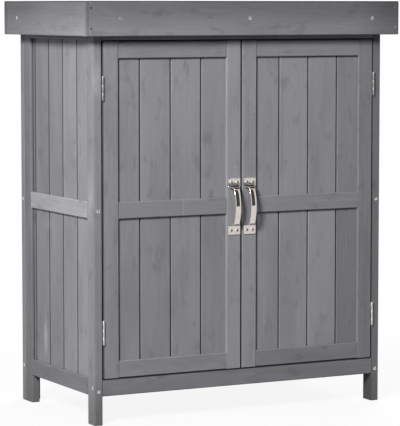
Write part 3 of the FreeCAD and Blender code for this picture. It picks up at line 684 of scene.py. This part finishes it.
def tint_strip(bm, look, axis, end, reach, tone):
    """Cut off a strip at one end of an axis, some millimetres wide, and tint its faces that look one way."""
    border = end * (max(end * vert.co[axis] for vert in bm.verts) - reach * MM)
    cut_across(bm, axis, border)
    layer = bm.faces.layers.float["tone"]
    for face in bm.faces:
        if face.normal.dot(look) > ROUGHLY and end * (face.calc_center_median()[axis] - border) > 0:
            face[layer] *= tone


def tint_joint(bm):
    """Give the two lengths of the jointed rail, and the glue line between them, their own tones."""
    cut_across(bm, 0, JOINT_START)
    cut_across(bm, 0, JOINT_END)
    layer = bm.faces.layers.float["tone"]
    for face in bm.faces:
        x = face.calc_center_median().x
        if x > JOINT_START:
            face[layer] *= JOINT_TONE if x < JOINT_END else BEYOND_TONE


# %% Stiles and rails
MEMBER_EDGE, CORNER_EDGE = 0.35 * MM, 1.4 * MM

members = [node for node in nodes_in("timber") if not node.startswith("roof")]
for node in members:
    width = CORNER_EDGE if node == "left_front_stile" else MEMBER_EDGE
    tones = (MEMBER_TONES_AND_SHADE[node],) * 2 if node in MEMBER_TONES_AND_SHADE else OTHER_TONES
    bm = timber_copy(node, width, 2, tones=tones)
    layer = bm.faces.layers.float["tone"]
    # Painted light and shade on single faces of this member.
    for face in bm.faces:
        for look, least, tone in FACE_LIGHT_AND_SHADE.get(node, ()):
            if face.normal.dot(look) > least:
                face[layer] *= tone
    if node in GAP_SHADE_STRIPS:
        tint_strip(bm, *GAP_SHADE_STRIPS[node])
    if node == JOINTED_RAIL:
        tint_joint(bm)
    dress(bm, node, "timber", frame_timber)
print("frame members:", len(members))

# %% [markdown]
# The boards keep their tongues and V joints from the frame's mesh. Their edges are crisper than the
# frame's, so the bevel is finer: a wide one would close the narrow joint and lose its dark line. Shadow
# is also painted along the left or rear edge and the top edge of each panel, where the frame shades it.
# A shader cannot know where the frame ends, so the boards are cut along that border too, and the joint
# mark is raised beyond the cut.

# %% Tongued boards
BOARD_EDGE = 0.3 * MM
DOOR_JOINT_DEPTH, WALL_JOINT_DEPTH = 2.0 * MM, 0.45 * MM
RIM_REACH = 15 * MM
HAIR = 1e-6
# A rim of painted shadow: its mark, and how far in front of the border it still holds and has faded out.
LEFT_RIM = (0.55, 3.6 * MM, 5.6 * MM)
REAR_RIM = (0.8, 1.5 * MM, 4 * MM)
TOP_RIM = (0.75, 0.2 * MM, 3 * MM)
# Tones of each panel's boards, the lower ones first, from left to right or front to back. They also hold
# painted light and shade: paler on the left side, darker towards its rear and the right door's right end.
BOARD_TONES_AND_SHADE = {
    "left_door_boards": (1.01, 0.96, 1.04, 0.97, 0.965, 1.02, 1.08, 1.01),
    "right_door_boards": (1.09, 1.135, 1.17, 0.825, 1.07, 1.115, 1.065, 0.94),
    "left_boards": (1.27, 1.18, 1.1, 1.01, 0.88, 1.17, 1.235, 1.065, 0.97, 0.8),
}


def shade_rim(bm, axis, border, side, mark, near, far):
    """Paint shadow behind a border by raising the joint mark towards side, and fade it out between near and
    far in front.
    """
    layer = bm.verts.layers.float["joint_and_shadow"]
    for shift in (near, far):
        cut_across(bm, axis, border - side * shift)
    for vert in bm.verts:
        if -near - HAIR < side * (vert.co[axis] - border) < RIM_REACH:
            vert[layer] = max(vert[layer], mark)


def panel_rims(node):
    """List what shade_rim needs for the shaded edges of a boarded panel."""
    side = node.split("_")[0]
    if "door" in node:
        stile = "hinge" if side == "left" else "meeting"
        rims = [(0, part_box(f"{side}_door_{stile}_stile")[1].x, -1, *LEFT_RIM)]
        rails = [f"{side}_door_top_rail", f"{side}_door_mid_rail"]
    else:
        rims = [] if side == "back" else [(1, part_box(f"{side}_rear_stile")[0].y, 1, *REAR_RIM)]
        rails = [f"{side}_top_rail", f"{side}_mid_rail"]
    return rims + [(2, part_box(rail)[0].z, 1, *TOP_RIM) for rail in rails]


# The listed board tones hold painted light and shade, and the rims paint the frame's shadow.
for node in nodes_in("boards"):
    bm = timber_copy(
        node,
        BOARD_EDGE,
        1,
        tones=(0.92, 1.1),
        pith=(0.02, 0.06),
        aside=(0.03, 0.1),
        joint_depth=DOOR_JOINT_DEPTH if "door" in node else WALL_JOINT_DEPTH,
        listed=BOARD_TONES_AND_SHADE.get(node),
    )
    for rim in panel_rims(node):
        shade_rim(bm, *rim)
    dress(bm, node, "timber", board_timber)

# %% [markdown]
# ## The roof's skirt
# The fascia boards are the darkest timber on the cabinet. Light and shade are also painted on them: they
# get paler towards their lower edge and darker at the top, the left side is paler than the front, most of
# all near their corner, where the light comes from, and the front gets darker towards its right end, where
# the light falls off. Those are slow changes over a whole board, so they are more steps on the same finish:
# factors that follow the Object coordinates.

# %% The fascia's finish
fascia_timber = timber_material("grey stained fascia timber", [part * 0.86 for part in GREY], 0.15, 0.5)


def scale_colour(material, factor):
    """Multiply the colour of a finish by one more factor."""
    tree = material.node_tree
    entry = next(node for node in tree.nodes if node.type == "BSDF_PRINCIPLED").inputs["Base Color"]
    feed(tree, entry, shade_of(tree, entry.links[0].from_socket, factor))


# Painted light and shade: paler low down, paler on the left side and towards its front, darker to the right.
for axis, low, high, start, stop in (
    ("Z", 0.805, 0.87, 1.08, 0.67),
    ("Y", -0.21, 0.2, 1.33, 0.93),
    ("X", -0.372, -0.368, 1.0, 0.76),
    ("X", 0.25, 0.37, 1.0, 0.66),
):
    scale_colour(fascia_timber, axis_fade(fascia_timber.node_tree, axis, low, high, start, stop))

# %% [markdown]
# The skirt's outer corners are made darkest. At the left front corner the dark band is wider than the
# bevel, so strips are cut for it as on the doors. The seams between the side boards and the front board
# have no such band, and are left as they are.

# %% Fascia boards
FASCIA_EDGE = 0.9 * MM
CORNER_TONE = 0.55
# The two sides of the left corner, and the rest of the front board's end.
CORNER_STRIPS = ((LEFT, 1, -1, 4.5, 0.62), (FRONT, 0, -1, 3.6, 0.64), (LEFT, 1, 1, 13.5, 1.12))
OUTER_SIDE = {"roof_front_fascia": -1, "roof_back_fascia": 1}

for node in [node for node in slot_of if node.endswith("_fascia")]:
    bm = timber_copy(node, FASCIA_EDGE, 3, tones=(1.0, 1.0), pith=(0.05, 0.09))
    if node == "roof_front_fascia":
        for strip in CORNER_STRIPS:
            tint_strip(bm, *strip)
    outer_side = OUTER_SIDE.get(node, 0)
    for face in bm.faces:
        if min(abs(face.normal.x), outer_side * face.normal.y) > 0.1 and abs(face.normal.z) < 0.2:
            face[bm.faces.layers.float["tone"]] = CORNER_TONE
            face[bm.faces.layers.float["edge"]] = 0.0
    dress(bm, node, "timber", fascia_timber)

# %% [markdown]
# Handling has rubbed the stain thin in a few places on the left side: on the boards, low at the rear and
# under the middle rail, and on the front post, beside that rail and near the upper hinge. The foot of
# that post has darkened instead. Each is an oval round a point, broken up by noise, so it is one more
# step on the finish.


# %% Rubbed patches
def rub(material, centre, reach, gain):
    """Pale or darken an oval patch, given by its centre and its reach along each axis."""
    tree = material.node_tree
    spot = object_spot(tree)
    share = vector_maths(tree, "DIVIDE", vector_maths(tree, "SUBTRACT", spot, centre), reach)
    ragged = times(tree, noise(tree, spot, 1.0, (260.0, 260.0, 60.0)), 1.1)
    away = plus(tree, vector_maths(tree, "LENGTH", share), ragged)
    scale_colour(material, remap(tree, away, 0.5, 1.5, gain, 1.0))


rub(board_timber, (-0.340, 0.077, 0.155), (0.03, 0.015, 0.06), 1.75)
rub(board_timber, (-0.340, 0.055, 0.40), (0.03, 0.035, 0.02), 1.25)
rub(frame_timber, (-0.344, -0.166, 0.47), (0.012, 0.03, 0.085), 1.4)
rub(frame_timber, (-0.338, -0.185, 0.715), (0.016, 0.02, 0.055), 1.4)
rub(frame_timber, (-0.335, -0.168, 0.02), (0.06, 0.06, 0.12), 0.8)

# %% [markdown]
# ## Inside the cabinet
# The floor, the shelf, their bearers and the roof's inner frame are sawn timber that few people look at.
# They show when the doors are open, so they get the same grain in a rougher, duller finish.

# %% Inner timber
INNER_EDGE = 0.5 * MM

for node in nodes_in("inner_timber"):
    dress(timber_copy(node, INNER_EDGE, 1, tones=(0.85, 1.1)), node, "timber", inner_timber)


# %% [markdown]
# ## Metal and plastic finishes
# Plated metal is judged by what it mirrors, so its material is mostly clean: a base colour, a little
# roughness that varies like wiped-off polish, and duller edges. Zinc on screws and hinges is rougher and
# greyer than the bright plating of the handles. The catches are black moulded plastic with a fine pebbled
# skin.


# %% Metal and plastic materials
def metal_material(name, base, roughness, spread, relief=0.1, grime_size=500.0):
    """Plated metal; spread is how much its roughness varies, and relief the strength of its bump."""
    material, tree = new_material(name)
    spot = object_spot(tree)
    cloud = noise(tree, spot, grime_size, detail=5.0, roughness=0.6)
    grimy = [part * 0.82 for part in base]
    colour = blend_colours(tree, remap(tree, cloud, 0.35, 0.75, 0.0, 0.6), base, grimy)
    gloss = remap(tree, cloud, 0.3, 0.7, roughness, roughness + spread)
    gloss = plus(tree, gloss, times(tree, worn_edges(tree, spot, 900.0, 0.5), spread))
    add_shader(tree, {"Base Color": colour, "Roughness": gloss, "Metallic": 1.0}, cloud, relief, 0.2 * MM)
    return material


bright_plating = metal_material("bright handle plating", (0.66, 0.61, 0.575), 0.06, 0.06, 0.16, 160.0)
zinc = metal_material("zinc plated screws", (0.82, 0.82, 0.8), 0.22, 0.12)
stained_zinc = metal_material("stained zinc screws", (0.4, 0.4, 0.41), 0.4, 0.15)
dull_zinc = metal_material("dull zinc hinges", (0.5, 0.5, 0.5), 0.4, 0.15, 0.15)
stained_hinge = metal_material("stained zinc hinges", (0.26, 0.26, 0.26), 0.45, 0.15, 0.15)
# The faces inside a screw's cross get this near-black finish: painted shade for the recess.
recess_shade = metal_material("painted shade in screw recess", (0.04, 0.04, 0.04), 0.5, 0.2, 0.0)
pole_steel = metal_material("catch pole steel", (0.5, 0.5, 0.5), 0.35, 0.15)

black_plastic, tree = new_material("black catch plastic")
spot = object_spot(tree)
pebble = noise(tree, spot, 2500.0, detail=2.0)
colour = blend_colours(tree, worn_edges(tree, spot, 400.0, 0.5), (0.025, 0.025, 0.027), (0.09, 0.09, 0.09))
gloss = remap(tree, pebble, 0.3, 0.7, 0.42, 0.58)
add_shader(tree, {"Base Color": colour, "Roughness": gloss}, pebble, 0.25, 0.1 * MM)

# %% [markdown]
# ## Screws
# A screw head is small, but a bare grey dot looks like a mistake and a crossed recess looks like a screw.
# The head is spun from a short profile, as on a lathe. The cross is cut with a Boolean modifier by two
# thin wedges on a model a thousand times full size, where the solver has no trouble with tiny edges. The
# finished head is then shrunk and set wherever the frame has a screw.


# %% Turn and cut one screw
def spun(profile, steps):
    """Spin (radius, height) points about Z into a closed solid; the first and last point lie on the axis."""
    bm = bmesh.new()
    verts = [bm.verts.new((radius, 0, height)) for radius, height in profile]
    edges = [bm.edges.new(pair) for pair in zip(verts, verts[1:])]
    bmesh.ops.spin(
        bm, geom=verts + edges, cent=(0, 0, 0), axis=(0, 0, 1), angle=math.tau, steps=steps, use_merge=True
    )
    bmesh.ops.remove_doubles(bm, verts=bm.verts, dist=1e-5)
    bmesh.ops.recalc_face_normals(bm, faces=bm.faces)
    return bm


def cross_cutter(reach, width, top, depth):
    """Two crossed wedges, narrower at the bottom."""
    bm = bmesh.new()
    for angle in (22, 112):
        made = bmesh.ops.create_cube(bm, size=1.0)["verts"]
        bmesh.ops.scale(bm, vec=(2 * reach, width, depth), verts=made)
        foot = [vert for vert in made if vert.co.z < 0]
        bmesh.ops.scale(bm, vec=(0.45, 0.7, 1), verts=foot)
        bmesh.ops.translate(bm, vec=(0, 0, top - depth / 2 + 0.05), verts=made)
        turn = Matrix.Rotation(math.radians(angle), 3, "Z")
        bmesh.ops.rotate(bm, cent=(0, 0, 0), matrix=turn, verts=made)
    return bm


def crossed_screw(name, profile, depth):
    """Turn a screw from its profile in millimetres and cut a cross in its head; returns a mesh."""
    radius = max(point[0] for point in profile)
    top = profile[0][1]
    head = as_object(spun(profile, 24), name)
    cutter = as_object(cross_cutter(radius * 0.64, radius * 0.34, top, depth), f"{name}_cutter")
    cut = head.modifiers.new("cross", "BOOLEAN")
    cut.operation = "DIFFERENCE"
    cut.solver = "EXACT"
    cut.use_self = True
    cut.object = cutter
    graph = bpy.context.evaluated_depsgraph_get()
    mesh = bpy.data.meshes.new_from_object(head.evaluated_get(graph))
    for item in (head, cutter):
        bpy.data.objects.remove(item)
    # Faces inside the cross take the second material, painted shade for the recess.
    for face in mesh.polygons:
        reach = math.hypot(face.center.x, face.center.y)
        face.material_index = int(reach < radius * 0.6 and top - depth - 0.2 < face.center.z < top - 0.25)
    in_cross = sum(face.material_index for face in mesh.polygons)
    print(name, len(mesh.polygons), "faces,", in_cross, "in the cross")
    return mesh


SUNK = [(0, 0.5), (1.9, 0.48), (3.1, 0.36), (3.5, 0.12), (3.45, -0.1), (1.75, -1.6), (1.6, -9), (0, -10)]
PAN = [(0, 1.75), (1.8, 1.6), (3.0, 1.1), (3.6, 0.35), (3.6, 0), (1.7, -0.02), (1.6, -9), (0, -10)]
HINGE = [(0, 0.0), (2.2, -0.02), (2.45, -0.12), (1.4, -1.1), (1.3, -6), (0, -7)]
sunk_screw = crossed_screw("sunk_screw", SUNK, 1.3)
pan_screw = crossed_screw("pan_screw", PAN, 1.5)
hinge_screw = crossed_screw("hinge_screw", HINGE, 0.9)


# %% [markdown]
# Where do they go? The frame already holds one small solid for each screw, so nothing is typed in twice:
# each solid's longest side gives the screw's direction, and its wider end is the head. The heads are
# turned at random, because nobody drives screws to line up.


# %% Where the screws go
def screw_places(node):
    """Find each screw's head centre and outward direction from the frame's own solids."""
    bm = merged_copy(node)
    places = []
    for piece in islands(bm):
        points = [vert.co.copy() for face in piece for vert in face.verts]
        low, high = box_of(piece)
        axis = max(range(3), key=lambda index: high[index] - low[index])
        middle = (low + high) / 2
        widest = max(points, key=lambda point: (point - middle).length - abs((point - middle)[axis]))
        sign = 1 if widest[axis] > middle[axis] else -1
        outward = Vector((0, 0, 0))
        outward[axis] = sign
        middle[axis] = high[axis] if sign > 0 else low[axis]
        places.append((middle, outward))
    bm.free()
    return sorted(places, key=lambda row: tuple(round(value, 4) for value in row[0]))


def add_copy(bm, mesh, matrix):
    """Add a copy of a mesh to a bmesh, moved by a matrix."""
    before = len(bm.verts)
    bm.from_mesh(mesh)
    bm.verts.ensure_lookup_table()
    bmesh.ops.transform(bm, matrix=matrix, verts=bm.verts[before:])


def set_screws(bm, mesh, places, drop, chooser):
    """Set a screw, modelled in millimetres, at each place; drop lowers it from the solid's end."""
    for spot, outward in places:
        turned = outward.to_track_quat("Z", "Y").to_matrix().to_4x4()
        spin = Matrix.Rotation(chooser.uniform(0, math.tau), 4, "Z")
        add_copy(bm, mesh, Matrix.Translation(spot - outward * drop) @ turned @ spin @ Matrix.Scale(MM, 4))


# %% [markdown]
# The screws of the frames are bright zinc. Most of the fascia's were stained over with it, and the few
# that stayed bright are picked out by their place. A head is lowered by its own height, so that it ends
# where the frame's solid ends.

# %% Set the screws
SUNK_HEIGHT, PAN_HEIGHT = SUNK[0][1] * MM, PAN[0][1] * MM
SIDE_X, BARE_FRONT_X = 0.36, -0.1

for node in ("frame_screws", "fascia_screws", "hinge_post_screws"):
    bm = bmesh.new()
    form, drop = (hinge_screw, 0.0) if node.startswith("hinge") else (sunk_screw, SUNK_HEIGHT)
    set_screws(bm, form, screw_places(node), drop, random.Random(node))
    for face in bm.faces:
        spot = face.calc_center_median()
        bare = spot.y > 0 if abs(spot.x) > SIDE_X else spot.x > BARE_FRONT_X
        if node == "fascia_screws" and bare and face.material_index == 0:
            face.material_index = 2
    plating = zinc if node == "frame_screws" else stained_zinc
    dress(bm, node, "set", plating, recess_shade, zinc, smooth=True)

for side in ("left", "right"):
    node = f"{side}_door_screws"
    everything = screw_places(node)
    on_hinge = [row for row in everything if abs(row[1].x) > 0.5]
    on_handle = [row for row in everything if abs(row[1].y) > 0.5]
    bm = bmesh.new()
    chooser = random.Random(node)
    set_screws(bm, hinge_screw, on_hinge, 0.0, chooser)
    set_screws(bm, pan_screw, on_handle, PAN_HEIGHT, chooser)
    dress(bm, node, "set", stained_zinc, recess_shade, smooth=True)
    print(node, len(on_hinge), "in hinges,", len(on_handle), "in the handle")

# %% [markdown]
# ## Hinges
# The leaves and knuckles are the frame's own, with their pressed edges softened. The lower hinges are
# bright, and the upper ones took some stain. The pins are turned anew with domed ends, because a cut-off
# cylinder at the end of a barrel looks unfinished.

# %% Leaves and pins
METAL_ANGLE = 40
PIN_DOME = [(0, 0.75), (0.55, 0.68), (1.0, 0.42), (1.2, 0.0)]
LEAF_EDGE = 0.2 * MM
UPPER_HINGES = 0.5

for node in ("hinge_post_leaves", "left_door_hinge_leaves", "right_door_hinge_leaves"):
    bm = soften(merged_copy(node), LEAF_EDGE, 2, METAL_ANGLE)
    for face in bm.faces:
        face.material_index = int(face.calc_center_median().z > UPPER_HINGES)
    dress(bm, node, "plated", dull_zinc, stained_hinge, smooth=True)

bm = bmesh.new()
pins = merged_copy("hinge_pins")
for piece in islands(pins):
    low, high = box_of(piece)
    half = (high.z - low.z) / 2 / MM
    profile = [(radius, half + height) for radius, height in PIN_DOME]
    profile += [(radius, -height) for radius, height in reversed(profile)]
    pin = as_mesh(spun(profile, 20), "pin")
    add_copy(bm, pin, Matrix.Translation((low + high) / 2) @ Matrix.Scale(MM, 4))
    bpy.data.meshes.remove(pin)
pins.free()
dress(bm, "hinge_pins", "domed", dull_zinc, smooth=True)

# %% [markdown]
# ## Pull handles
# Each handle is one strip of metal: a flat plate at each end, a short neck that leans out and narrows,
# and a bowed grip with a crowned face. A box cannot do this, and a single sweep would not narrow. So a
# ring of points is drawn as a rounded rectangle at each station along the strip's middle line, with its
# own width, thickness and crown, and the rings are bridged. The stations follow the side view of the
# frame's own handle, in millimetres from its middle.

# %% The strip's middle line
PLATE_END, PLATE_FOOT, NECK_TOP = 60.0, 42.0, 37.0
PLATE_WIDTH, PLATE_THICK, PLATE_CROWN, PLATE_CORNER = 29.0, 2.0, 0.12, 1.2
GRIP_WIDTH, GRIP_THICK, GRIP_CROWN = 13.5, 3.0, 0.8
STANDOFF, BOW_RADIUS = 22.0, 95.0
NECK_STEPS, GRIP_STEPS = 14, 9
# A pressed plate is never quite flat: how far it stands off at steps from its end.
PLATE_LIFTS = [(0, 0.16), (0.15, 0.16), (0.6, 0.155), (1.2, 0.15), (2, 0.14), (6, 0.08), (9, 0.05)]
FOOT_LIFT = 0.13
PLATE_LIFTS += [(12, 0.06), (15.5, FOOT_LIFT)]


def bow_depth(height):
    """How far the grip's outer face stands out at a height from the middle."""
    return STANDOFF - BOW_RADIUS + math.sqrt(BOW_RADIUS ** 2 - height ** 2)


def smooth_step(value):
    value = min(max(value, 0.0), 1.0)
    return value * value * (3 - 2 * value)


def between(start, stop, share):
    return start + (stop - start) * share


def cubic(a, b, c, d, share):
    """Give the point and the slope of a cubic curve at a share of its way."""
    rest = 1 - share
    point = a * rest ** 3 + b * 3 * share * rest ** 2 + c * 3 * share ** 2 * rest + d * share ** 3
    slope = (b - a) * rest ** 2 + (c - b) * 2 * share * rest + (d - c) * share ** 2
    return point, slope


def stations():
    """List the upper half's rings, from the end to the middle, as rounded_ring takes them."""
    rows = []
    for step, lift in PLATE_LIFTS:
        short = max(PLATE_CORNER - step, 0)
        inset = PLATE_CORNER - math.sqrt(PLATE_CORNER ** 2 - short ** 2)
        width = PLATE_WIDTH - 2 * inset
        rows.append((PLATE_THICK / 2 + lift, PLATE_END - step, 0.0, width, PLATE_THICK, PLATE_CROWN))
    # A cubic curve leaves the plate downwards, turns out along the neck and meets the bow.
    foot = Vector((PLATE_THICK / 2, PLATE_FOOT))
    top = Vector((bow_depth(NECK_TOP - 1) - GRIP_THICK / 2, NECK_TOP - 1))
    start, end = Vector((0, -5.5)), Vector((1.6, -4.0))
    curve = (foot + Vector((0, 1.5)), foot + start * 0.6, top - end * 1.4 + Vector((1.2, 1.2)), top)
    for step in range(NECK_STEPS + 1):
        share = step / NECK_STEPS
        point, slope = cubic(*curve, share)
        blend = 0.5 * share + 0.5 * smooth_step(share)
        rows.append((
            point.x + FOOT_LIFT * (1 - share),
            point.y,
            math.atan2(slope.x, -slope.y),
            between(PLATE_WIDTH, GRIP_WIDTH, blend),
            between(PLATE_THICK, GRIP_THICK, blend),
            between(PLATE_CROWN, GRIP_CROWN, blend),
        ))
    for step in range(1, GRIP_STEPS + 1):
        height = (NECK_TOP - 1) * (1 - step / GRIP_STEPS)
        lean = math.asin(height / BOW_RADIUS)
        rows.append((bow_depth(height) - GRIP_THICK / 2, height, lean, GRIP_WIDTH, GRIP_THICK, GRIP_CROWN))
    return rows


# %% [markdown]
# The lower half mirrors the upper one, so its rows are the same with height and lean turned over. Each
# ring is a circle whose points are pushed out to a rounded rectangle, and its outer face is lifted in the
# middle by the crown. The last step caps the ends and rounds their edges.


# %% Ring, bridge, cap
def rounded_ring(bm, outward, height, lean, width, thick, crown):
    """Draw one ring of the strip, square to its middle line."""
    made = bmesh.ops.create_circle(bm, segments=28, radius=1.0)["verts"]
    sharpness = 0.28 + 0.3 * crown
    for vert in made:
        angle = math.atan2(vert.co.y, vert.co.x)
        across, through = math.cos(angle), math.sin(angle)
        across = math.copysign(abs(across) ** sharpness, across) * width / 2
        through = math.copysign(abs(through) ** (sharpness + 0.1), through) * thick / 2
        if through > 0:
            through += crown * (1 - (2 * across / width) ** 2) - crown / 2
        vert.co = Vector((across, -through, 0))
    turned = Matrix.Rotation(lean, 4, "X")
    bmesh.ops.transform(bm, matrix=Matrix.Translation((0, -outward, height)) @ turned, verts=made)
    return made


def is_end_edge(edge):
    at_end = all(abs(abs(vert.co.z) - PLATE_END) < 0.01 for vert in edge.verts)
    return at_end and edge.calc_face_angle(0) > math.radians(60)


def pull_handle():
    """Model a handle about its own middle, with its back on the plane y = 0."""
    bm = bmesh.new()
    upper = stations()
    lower = [(outward, -height, -lean, *rest) for outward, height, lean, *rest in upper[-2::-1]]
    rings = [rounded_ring(bm, *row) for row in upper + lower]
    for pair in zip(rings, rings[1:]):
        edges = [
            edge
            for ring in pair
            for vert in ring
            for edge in vert.link_edges
            if edge.other_vert(vert) in ring
        ]
        bmesh.ops.bridge_loops(bm, edges=list(dict.fromkeys(edges)))
    for ring in (rings[0], rings[-1]):
        bmesh.ops.contextual_create(bm, geom=ring)
    bmesh.ops.recalc_face_normals(bm, faces=bm.faces)
    round_edges(bm, [edge for edge in bm.edges if is_end_edge(edge)], 0.4, 2)
    return bm


for side in ("left", "right"):
    node = f"{side}_door_handle"
    low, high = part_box(node)
    back = Vector(((low.x + high.x) / 2, high.y, (low.z + high.z) / 2))
    bm = pull_handle()
    bmesh.ops.transform(bm, matrix=Matrix.Translation(back) @ Matrix.Scale(MM, 4), verts=bm.verts)
    dress(bm, node, "formed", bright_plating, smooth=True)

# %% [markdown]
# ## Catches and strikes
# Each magnetic catch is a black moulded case with two steel poles that stand just proud of it. The poles
# are found by their place, on the case's front, and given their own steel.

# %% Catches and strikes
CATCH_EDGE, STRIKE_EDGE, POLE_RISE = 0.35 * MM, 0.3 * MM, 0.19 * MM

bm = soften(merged_copy("magnetic_catches"), CATCH_EDGE, 2, METAL_ANGLE)
front = min(vert.co.y for vert in bm.verts)
for face in bm.faces:
    if max(vert.co.y for vert in face.verts) < front + POLE_RISE:
        face.material_index = 1
materials = [black_plastic, pole_steel]
finish_piece(bm, "catches_moulded", "cabinet", materials, ["magnetic_catches"])
for node in ("left_door_strike", "right_door_strike"):
    dress(soften(merged_copy(node), STRIKE_EDGE, 2, METAL_ANGLE), node, "plated", dull_zinc)

# %% [markdown]
# ## Roofing felt
# The roof is covered with mineral felt that laps over the tops of the fascia boards. Only its edge shows
# from the front, as a thin dark line. From above it is a rough grey sheet, so its mesh is divided and
# lowered a little in smooth waves, its edge is rounded, and its material has grit of two sizes.

# %% Felt sheet
FELT_COLUMNS, FELT_ROWS = 30, 18
FELT_EDGE, FELT_DIP = 0.9 * MM, 0.35 * MM
FLAT_RIM = 0.04

felt_material, tree = new_material("mineral roofing felt")
spot = object_spot(tree)
grit = noise(tree, spot, 900.0, detail=4.0, roughness=0.7)
patch = noise(tree, spot, 7.0)
colour = blend_colours(tree, remap(tree, grit, 0.35, 0.65), (0.035, 0.036, 0.04), (0.13, 0.13, 0.14))
colour = blend_colours(tree, remap(tree, patch, 0.4, 0.7, 0.0, 0.35), colour, (0.05, 0.05, 0.055))
gloss = remap(tree, grit, 0.3, 0.7, 0.85, 0.98)
add_shader(tree, {"Base Color": colour, "Roughness": gloss}, grit, 0.7, 0.8 * MM)

low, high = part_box("roof_felt")
bm = bmesh.new()
bmesh.ops.create_cube(bm, size=1.0)
bmesh.ops.scale(bm, vec=high - low, verts=bm.verts)
bmesh.ops.translate(bm, vec=(low + high) / 2, verts=bm.verts)
soften(bm, FELT_EDGE, 3, METAL_ANGLE)
for axis, count in enumerate((FELT_COLUMNS, FELT_ROWS)):
    for step in range(1, count):
        cut_across(bm, axis, low[axis] + (high - low)[axis] * step / count)
for vert in bm.verts:
    x, y, z = vert.co
    if z > (low.z + high.z) / 2:
        inset = min(x - low.x, high.x - x, y - low.y, high.y - y)
        wave = math.sin(x * 23 + 1) * math.sin(y * 31) * 0.5 + math.sin(x * 9 - y * 13) * 0.5
        vert.co.z -= FELT_DIP * (1 + wave) * smooth_step(inset / FLAT_RIM)
finish_piece(bm, "felt_sheet", "cabinet", [felt_material], ["roof_felt"], smooth=True)

# %% [markdown]
# ## Painted-over nails
# At each end of the front and back fascia two nails were driven into the side boards and stained over.
# They show as low bumps, dark where the stain gathered at the left end and rubbed pale at the right, so
# they are small spun domes in the fascia's own finish, with tones of their own.

# %% Fascia nails
NAIL = [(0, 0.35), (1.5, 0.3), (2.6, 0.1), (3.1, -0.3), (0, -0.4)]
NAIL_IN, NAIL_DOWN, NAIL_UP = 9 * MM, 12 * MM, 16 * MM
DARK_NAIL, PALE_NAIL = 0.45, 1.7

nail = as_mesh(spun(NAIL, 14), "nail")
for node, outward in (("roof_front_fascia", FRONT), ("roof_back_fascia", BACK)):
    low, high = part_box(node)
    face_y = low.y if outward == FRONT else high.y
    spots = [
        (Vector((x, face_y, z)), outward)
        for x in (low.x + NAIL_IN, high.x - NAIL_IN)
        for z in (high.z - NAIL_DOWN, low.z + NAIL_UP)
    ]
    bm = bmesh.new()
    set_screws(bm, nail, spots, 0.0, random.Random(node))
    mark_timber(bm, node, OTHER_TONES)
    for face in bm.faces:
        face[bm.faces.layers.float["tone"]] = DARK_NAIL if face.calc_center_median().x < 0 else PALE_NAIL
    bm.faces.layers.float.new("edge")
    finish_piece(bm, f"{node}_nails", "cabinet", [fascia_timber], smooth=True)
